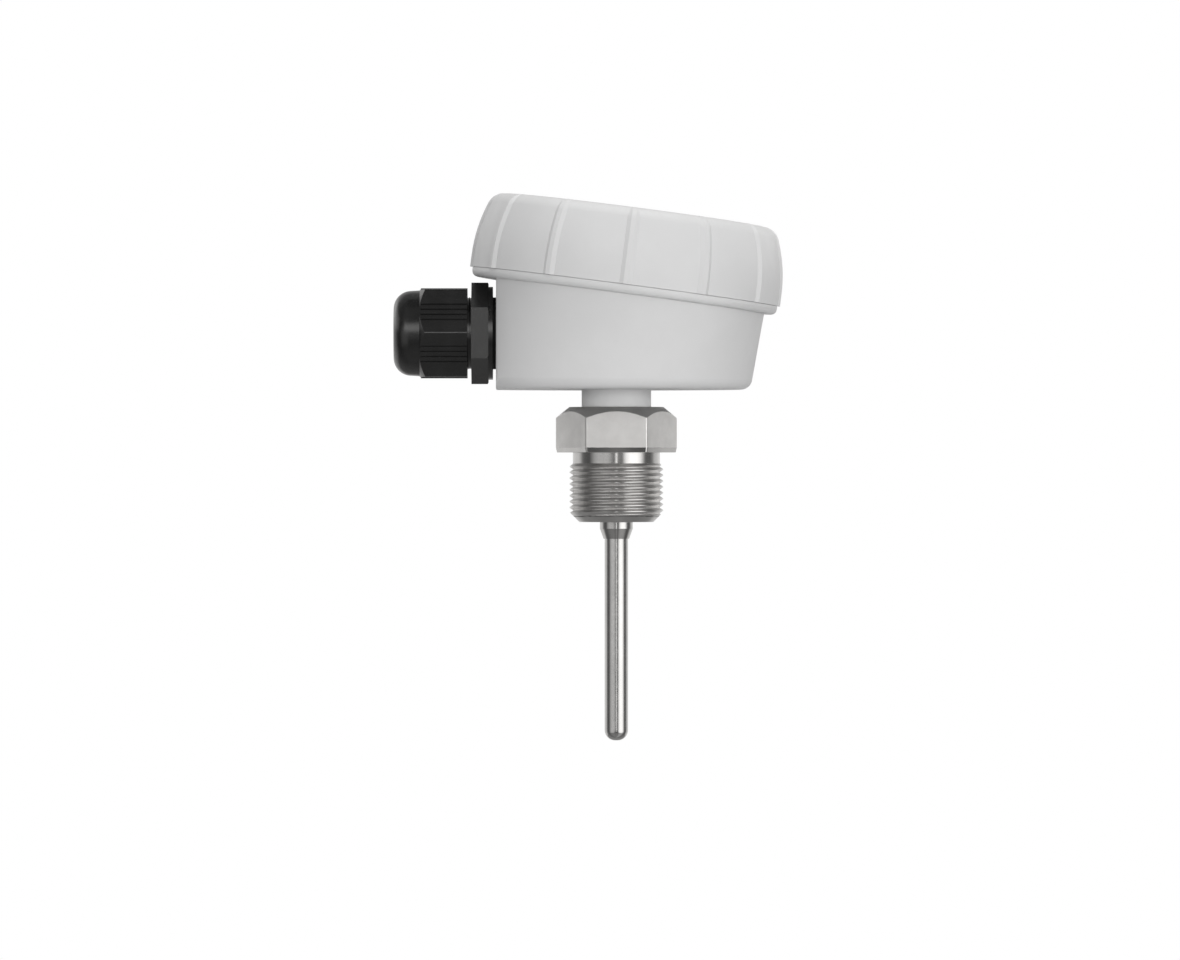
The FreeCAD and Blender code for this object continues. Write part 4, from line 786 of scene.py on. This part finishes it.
# %% Cloudy tone, and a roughness of its own
cloudy, given, result = start_group("cloudy_tone", {
    **PATTERN, "Dark": COLOUR, "Light": COLOUR, "Smooth": NUMBER, "Rough": NUMBER,
}, {"Color": COLOUR, "Roughness": NUMBER})
wide = noise(cloudy, given["Vector"], given["Scale"], detail=4.0, roughness=0.6)
mask = fade(cloudy, wide, 0.32, 0.68)
cloudy.links.new(mix_colours(cloudy, mask, given["Dark"], given["Light"]), result["Color"])
fine_scale = calculate(cloudy, "MULTIPLY", given["Scale"], 5.0)
specks = noise(cloudy, given["Vector"], fine_scale, detail=3.0, roughness=0.6)
handled = put(cloudy, "ShaderNodeMapRange", {
    "Value": specks, "From Min": 0.3, "From Max": 0.7, "To Min": given["Smooth"], "To Max": given["Rough"],
})
cloudy.links.new(handled.outputs["Result"], result["Roughness"])
print(cloudy.name, len(cloudy.nodes), "nodes")

# %% Moulded grain
grain, given, result = start_group("moulded_grain", PATTERN, {"Height": NUMBER})
pits = put(grain, "ShaderNodeTexVoronoi", {
    "Vector": given["Vector"], "Scale": given["Scale"], "Smoothness": 0.6,
}, feature="SMOOTH_F1")
wave_scale = calculate(grain, "MULTIPLY", given["Scale"], 0.45)
waves = noise(grain, given["Vector"], wave_scale, detail=3.0)
grain.links.new(calculate(grain, "MULTIPLY_ADD", pits.outputs["Distance"], 0.5, waves), result["Height"])
print(grain.name, len(grain.nodes), "nodes")

# %% Rings from the lathe, about the upright axis


def off_axis(tree, parts):
    """How far a place is from the upright axis."""
    squares = calculate(tree, "MULTIPLY", parts["Y"], parts["Y"])
    squares = calculate(tree, "MULTIPLY_ADD", parts["X"], parts["X"], squares)
    return calculate(tree, "SQRT", squares)


rings, given, result = start_group("lathe_rings", PATTERN, {"Height": NUMBER})
parts = split(rings, given["Vector"])
travel = calculate(rings, "ADD", off_axis(rings, parts), parts["Z"])
tool = put(rings, "ShaderNodeTexNoise", {
    "W": calculate(rings, "MULTIPLY", travel, given["Scale"]), "Scale": 1.0, "Detail": 3.0,
}, noise_dimensions="1D")
rings.links.new(tool.outputs["Fac"], result["Height"])
print(rings.name, len(rings.nodes), "nodes")

# %% Dust on what faces up
dust, given, result = start_group("settled_dust", {"Vector": DIRECTION, "Amount": NUMBER}, {"Mask": NUMBER})
facing = split(dust, put(dust, "ShaderNodeNewGeometry").outputs["Normal"])
flakes = fade(dust, noise(dust, given["Vector"], 900.0, detail=5.0, roughness=0.7), 0.42, 0.75)
settled = calculate(dust, "MULTIPLY", fade(dust, facing["Z"], 0.35, 0.95), flakes)
dust.links.new(calculate(dust, "MULTIPLY", settled, given["Amount"]), result["Mask"])
print(dust.name, len(dust.nodes), "nodes")

# %% [markdown]
# ## Moulded and rubber finishes
#
# The lid and the housing are one pale grey plastic with a satin mould face. The gland is black nylon, a
# little glossier, and its rubber is dull. Each could be wired by hand, but all of them are a cloudy tone
# under a fine pattern, some with a trace of dust, so one function builds them from their own colours and
# scales. A value that is the same all over, such as a metal's Metallic, is set on the shader itself.

# %% Start a material, place an effect and press a bump
finishes = {}


def start_material(name, **plain):
    """A new material with plain values on its shader, its tree and its Object coordinates."""
    material = bpy.data.materials.new(name)
    material.use_nodes = True
    shader = material.node_tree.nodes["Principled BSDF"]
    for title, value in plain.items():
        shader.inputs[title.replace("_", " ")].default_value = value
    finishes[name] = material
    place = put(material.node_tree, "ShaderNodeTexCoord").outputs["Object"]
    return material.node_tree, shader, place


def use_effect(tree, group, **inputs):
    """The outputs of a shared effect, placed in a material with its own values."""
    return put(tree, "ShaderNodeGroup", inputs, node_tree=group).outputs


def press(tree, shader, height, depth):
    """Turn a height into a bump of a real depth in millimetres."""
    bump = put(tree, "ShaderNodeBump", {"Height": height, "Distance": depth * MM, "Strength": 1.0})
    tree.links.new(bump.outputs["Normal"], shader.inputs["Normal"])


print("effects ready:", [group.name for group in bpy.data.node_groups])

# %% Plastics


def grey(level, warmth=0.0):
    """A grey with a little more red and a little less blue."""
    return (level * (1 + warmth), level, level * (1 - warmth), 1.0)


def make_finish(name, dark, light, clouds, smooth, rough, pattern, fineness, depth, dust_colour=None,
                dusty=0.0, **plain):
    """A cloudy tone under a fine pattern, with dust on top where it has a colour."""
    tree, shader, place = start_material(name, **plain)
    tone = use_effect(tree, cloudy, Vector=place, Scale=clouds, Dark=dark, Light=light, Smooth=smooth,
                      Rough=rough)
    colour = tone["Color"]
    if dust_colour:
        layer = use_effect(tree, dust, Vector=place, Amount=dusty)
        colour = mix_colours(tree, layer["Mask"], colour, dust_colour)
    tree.links.new(colour, shader.inputs["Base Color"])
    tree.links.new(tone["Roughness"], shader.inputs["Roughness"])
    press(tree, shader, use_effect(tree, pattern, Vector=place, Scale=fineness)["Height"], depth)
    print(name, len(tree.nodes), "nodes")


make_finish("head_plastic", grey(0.598), grey(0.616), clouds=60.0, smooth=0.42, rough=0.52,
            pattern=grain, fineness=2600.0, depth=0.010, dust_colour=grey(0.52, 0.03), dusty=0.25)
make_finish("gland_nylon", grey(0.005), grey(0.009), clouds=160.0, smooth=0.19, rough=0.27,
            pattern=grain, fineness=3200.0, depth=0.003, dust_colour=grey(0.08, 0.04), dusty=0.12,
            Specular_IOR_Level=0.7)
make_finish("terminal_plastic", (0.012, 0.155, 0.055, 1.0), (0.018, 0.195, 0.070, 1.0), clouds=300.0,
            smooth=0.30, rough=0.42, pattern=grain, fineness=5200.0, depth=0.006)

# %% Rubbers
make_finish("seal_rubber", grey(0.012), grey(0.020), clouds=420.0, smooth=0.62, rough=0.80,
            pattern=grain, fineness=4200.0, depth=0.016, dust_colour=grey(0.07, 0.03), dusty=0.35)
make_finish("plug_rubber", (0.19, 0.028, 0.016, 1.0), (0.24, 0.040, 0.022, 1.0), clouds=700.0,
            smooth=0.50, rough=0.70, pattern=grain, fineness=5000.0, depth=0.012)

# %% [markdown]
# Inside the stem the element is a dark glass bead in a clear amber sleeve, set in white paste. The leads
# have a pale extruded cover, so their pattern is lines along them. They are seen only with the head open or
# the stem cut, but each has its own finish.

# %% Inside the stem
make_finish("bead_glass", grey(0.010), grey(0.022, 0.05), clouds=1500.0, smooth=0.08, rough=0.16,
            pattern=grain, fineness=2500.0, depth=0.004, Coat_Weight=0.6)
make_finish("sleeve_film", (0.30, 0.105, 0.008, 1.0), (0.36, 0.14, 0.014, 1.0), clouds=900.0,
            smooth=0.12, rough=0.22, pattern=grain, fineness=4000.0, depth=0.003, Coat_Weight=0.3)
make_finish("heat_compound", grey(0.55), grey(0.66), clouds=1400.0, smooth=0.70, rough=0.88,
            pattern=grain, fineness=2200.0, depth=0.040)
make_finish("lead_insulation", grey(0.60, 0.02), grey(0.68, 0.02), clouds=350.0, smooth=0.32, rough=0.46,
            pattern=drawn, fineness=7000.0, depth=0.010)

# %% [markdown]
# ## Steel
#
# The fitting is turned from stainless bar, and each place on it has the finish of the tool that made it.
# The relief, the weld collar and the thread's crests are bright from the lathe, the thread's flanks are
# duller, the hexagon's lower slope is bright, its crown is satin, and its flats keep the satin skin of the
# drawn bar. Each could be a material of its own, but masks keep the fitting one piece: the relief and the
# collar are picked out by height, the crests by distance from the axis, and the hexagon's faces by the way
# they face. The rings are a bump, nearly absent on the flats.

# %% Bright places of the stainless fitting
BRIGHT = 0.12
CREST = (11.88 * MM, 11.93 * MM)

tree, shader, place = start_material("stainless", Metallic=1.0)
tone = use_effect(tree, cloudy, Vector=place, Scale=240.0, Dark=grey(0.585, 0.012), Light=grey(0.64, 0.012),
                  Smooth=0.30, Rough=0.36)
spread = split(tree, place)
height = spread["Z"]
over_thread = fade(tree, height, -0.1 * MM, 0.1 * MM)
under_hexagon = fade(tree, height, (HEXAGON_BOTTOM - 0.2) * MM, HEXAGON_BOTTOM * MM, 1.0, 0.0)
collar = fade(tree, height, (SHANK_END - 0.2) * MM, SHANK_END * MM, 1.0, 0.0)
bright = calculate(tree, "MAXIMUM", calculate(tree, "MULTIPLY", over_thread, under_hexagon), collar)
crests = fade(tree, off_axis(tree, spread), *CREST)
crests = calculate(tree, "MULTIPLY", crests, calculate(tree, "SUBTRACT", 1.0, over_thread))
bright = calculate(tree, "MAXIMUM", bright, crests)
roughness = mix_numbers(tree, bright, tone["Roughness"], BRIGHT)
print("bright places:", len(tree.nodes), "nodes")

# %% Crown and lower slope of its hexagon
CROWN_SATIN, SLOPE_BRIGHT = 0.40, 0.14
FACING_UP, FACING_DOWN = (0.2, 0.4), (-0.10, -0.16)
SLOPE_TOP = HEXAGON_BOTTOM + SLOPE_HEIGHT

facing = split(tree, put(tree, "ShaderNodeNewGeometry").outputs["Normal"])
over_slope = fade(tree, height, (SLOPE_TOP - 0.15) * MM, (SLOPE_TOP + 0.05) * MM)
on_crown = calculate(tree, "MULTIPLY", fade(tree, facing["Z"], *FACING_UP), over_slope)
roughness = mix_numbers(tree, on_crown, roughness, CROWN_SATIN)
on_hexagon = fade(tree, height, (HEXAGON_BOTTOM - 0.1) * MM, HEXAGON_BOTTOM * MM)
on_slope = calculate(tree, "MULTIPLY", fade(tree, facing["Z"], *FACING_DOWN), on_hexagon)
roughness = mix_numbers(tree, on_slope, roughness, SLOPE_BRIGHT)
print("crown and slope:", len(tree.nodes), "nodes")

# %% Flats of its hexagon, which face six ways
FLAT_SATIN = 0.46
SQUARE_TO_FLAT = (0.985, 0.998)

round_angle = calculate(tree, "ARCTAN2", facing["X"], facing["Y"])
sixfold = calculate(tree, "COSINE", calculate(tree, "MULTIPLY", round_angle, 3.0))
sixfold = calculate(tree, "ABSOLUTE", sixfold)
on_flats = fade(tree, height, (SLOPE_TOP - 0.10) * MM, (SLOPE_TOP + 0.05) * MM)
flats = calculate(tree, "MULTIPLY", fade(tree, sixfold, *SQUARE_TO_FLAT), on_flats)
flats = calculate(tree, "MULTIPLY", flats, calculate(tree, "SUBTRACT", 1.0, on_crown))
roughness = mix_numbers(tree, flats, roughness, FLAT_SATIN)
print("flats:", len(tree.nodes), "nodes")

# %% Turned stainless steel
RINGS_ON_FLATS = 0.15

tree.links.new(tone["Color"], shader.inputs["Base Color"])
tree.links.new(roughness, shader.inputs["Roughness"])
cuts = use_effect(tree, rings, Vector=place, Scale=5000.0)["Height"]
cuts = calculate(tree, "MULTIPLY", cuts, fade(tree, flats, 0.0, 1.0, 1.0, RINGS_ON_FLATS))
press(tree, shader, cuts, depth=0.0015)
print("stainless", len(tree.nodes), "nodes")

# %% [markdown]
# The tube is polished, with fine lines along it. The nut and washer under the board are nickel plated, the
# screws are zinc plated with a faint yellow and blue cast, the cages are bare brass that has begun to
# tarnish, and the pins and solder are tinned. All five are metal with a cloudy tone, so they differ only in
# colours, roughness and pattern.

# %% Other metals
make_finish("tube_steel", grey(0.60, 0.010), grey(0.65, 0.010), clouds=180.0, smooth=0.12, rough=0.18,
            pattern=drawn, fineness=6000.0, depth=0.002, Metallic=1.0)
make_finish("plated_brass", grey(0.58, 0.05), grey(0.66, 0.04), clouds=300.0, smooth=0.20, rough=0.30,
            pattern=rings, fineness=8000.0, depth=0.003, Metallic=1.0)
make_finish("fixing_steel", (0.52, 0.51, 0.44, 1.0), (0.55, 0.57, 0.60, 1.0), clouds=420.0, smooth=0.24,
            rough=0.36, pattern=grain, fineness=6000.0, depth=0.004, Metallic=1.0)
make_finish("terminal_brass", (0.42, 0.27, 0.085, 1.0), (0.66, 0.47, 0.18, 1.0), clouds=380.0, smooth=0.22,
            rough=0.40, pattern=grain, fineness=5000.0, depth=0.004, Metallic=1.0)
make_finish("tinned_copper", grey(0.52, 0.03), grey(0.66, 0.02), clouds=900.0, smooth=0.24, rough=0.44,
            pattern=grain, fineness=3500.0, depth=0.010, Metallic=1.0)

# %% [markdown]
# ## Circuit board
#
# The board is glass fibre under a green lacquer. Copper shows through the lacquer as lighter tracks from
# the leads to the terminal pins, the pads and the rings round the screws are bare and tinned, and the sawn
# edge shows the yellowish fibre. A thin white line frames the terminal block. They could be thin solids,
# but real ones are too thin to see from the side, so they are drawn by distance: a smooth step on how far
# a point is from a pad's middle or from a track's middle line. Both halves of the board are alike.

# %% Pads on the board, in millimetres
PAD_RADIUS = 1.25
SCREW_PLACE, SCREW_RING = (6.0, 18.0), 3.4
BLUR = 0.04

tree, shader, place = start_material("board")
in_millimetres = put(tree, "ShaderNodeMapping", {"Vector": place, "Scale": (1000.0, 1000.0, 1000.0)})
parts = split(tree, in_millimetres.outputs["Vector"])
along = parts["X"]
sideways = calculate(tree, "ABSOLUTE", parts["Y"])


def disc(x, y, radius):
    """1 within a radius of a point on either half of the board, 0 outside."""
    offset = put(tree, "ShaderNodeCombineXYZ", {
        "X": calculate(tree, "SUBTRACT", along, x), "Y": calculate(tree, "SUBTRACT", sideways, y),
    })
    away = put(tree, "ShaderNodeVectorMath", {0: offset.outputs["Vector"]}, operation="LENGTH")
    return fade(tree, away.outputs["Value"], radius - BLUR, radius + BLUR, 1.0, 0.0)


pads = calculate(tree, "MAXIMUM", disc(0.0, POLE, PAD_RADIUS), disc(PIN_PLACE, POLE, PAD_RADIUS))
pads = calculate(tree, "MAXIMUM", pads, disc(*SCREW_PLACE, SCREW_RING))
print("pads:", len(tree.nodes), "nodes")

# %% Tracks and the white line
TRACK_HALF_WIDTH = 0.75
BLOCK_MIDDLE, BLOCK_HALF_LENGTH, BLOCK_HALF_WIDTH = 12.2, 4.75, 6.05
LINE_WIDTH = 0.2


def past(value, centre, half):
    """How far a coordinate lies past a half width from a centre."""
    away = calculate(tree, "ABSOLUTE", calculate(tree, "SUBTRACT", value, centre))
    return calculate(tree, "SUBTRACT", away, half)


def rectangle(x, y, half_length, half_width):
    """1 inside a rectangle on either half of the board, 0 outside."""
    outside = calculate(tree, "MAXIMUM", past(along, x, half_length), past(sideways, y, half_width))
    return fade(tree, outside, -BLUR, BLUR, 1.0, 0.0)


track = rectangle(PIN_PLACE / 2, POLE, PIN_PLACE / 2, TRACK_HALF_WIDTH)
block = rectangle(BLOCK_MIDDLE, 0.0, BLOCK_HALF_LENGTH, BLOCK_HALF_WIDTH)
inner_block = rectangle(BLOCK_MIDDLE, 0.0, BLOCK_HALF_LENGTH - LINE_WIDTH, BLOCK_HALF_WIDTH - LINE_WIDTH)
frame_line = calculate(tree, "SUBTRACT", block, inner_block)
print("tracks and line:", len(tree.nodes), "nodes")

# %% Lacquer, copper, tin, fibre and white line
LACQUER_DARK, LACQUER_LIGHT = (0.010, 0.085, 0.030, 1.0), (0.014, 0.105, 0.038, 1.0)
COVERED_COPPER = (0.035, 0.175, 0.055, 1.0)
WHITE_INK = (0.70, 0.70, 0.67, 1.0)
TIN = (0.60, 0.58, 0.54, 1.0)
FIBRE = (0.36, 0.33, 0.16, 1.0)

upward = split(tree, put(tree, "ShaderNodeNewGeometry").outputs["Normal"])["Z"]
sawn_edge = fade(tree, calculate(tree, "ABSOLUTE", upward), 0.4, 0.6, 1.0, 0.0)
top = fade(tree, upward, 0.4, 0.6)
lacquer = use_effect(tree, cloudy, Vector=place, Scale=260.0, Dark=LACQUER_DARK, Light=LACQUER_LIGHT,
                     Smooth=0.30, Rough=0.38)
colour = mix_colours(tree, track, lacquer["Color"], COVERED_COPPER)
colour = mix_colours(tree, calculate(tree, "MULTIPLY", frame_line, top), colour, WHITE_INK)
colour = mix_colours(tree, pads, colour, TIN)
colour = mix_colours(tree, sawn_edge, colour, FIBRE)
bare_metal = calculate(tree, "MULTIPLY", pads, calculate(tree, "SUBTRACT", 1.0, sawn_edge))
tree.links.new(colour, shader.inputs["Base Color"])
tree.links.new(bare_metal, shader.inputs["Metallic"])
tree.links.new(lacquer["Roughness"], shader.inputs["Roughness"])
press(tree, shader, calculate(tree, "MAXIMUM", track, pads), depth=0.03)
print("board", len(tree.nodes), "nodes")

# %% [markdown]
# Every solid carried over from CAD takes the finish that the record names for it, and the new pieces take
# the finish of the solid that they stand on.

# %% Hand out the finishes
nodes = frame["nodes"]
for entry in frame["record"]["subparts"]:
    for slot in nodes[entry["node"]].material_slots:
        slot.material = finishes[entry["material_slot"]]
for piece, finish in [
    (fitting, "stainless"), (gland_threads, "gland_nylon"), (rim_thread, "head_plastic"),
    (lid_thread, "head_plastic"), *[(piece, "tinned_copper") for piece in solder],
]:
    piece.data.materials.clear()
    piece.data.materials.append(finishes[finish])
bare_nodes = [name for name, item in nodes.items() if not item.material_slots]
print("finishes:", len(finishes), "nodes without a slot:", bare_nodes)

# %% [markdown]
# ## Size
#
# The looks must not change the object's size, so the box of the whole object is written down beside the CAD
# model's own.

# %% Sizes before and after
low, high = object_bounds()
print("visual box in mm:", [round(side / MM, 1) for side in high - low])
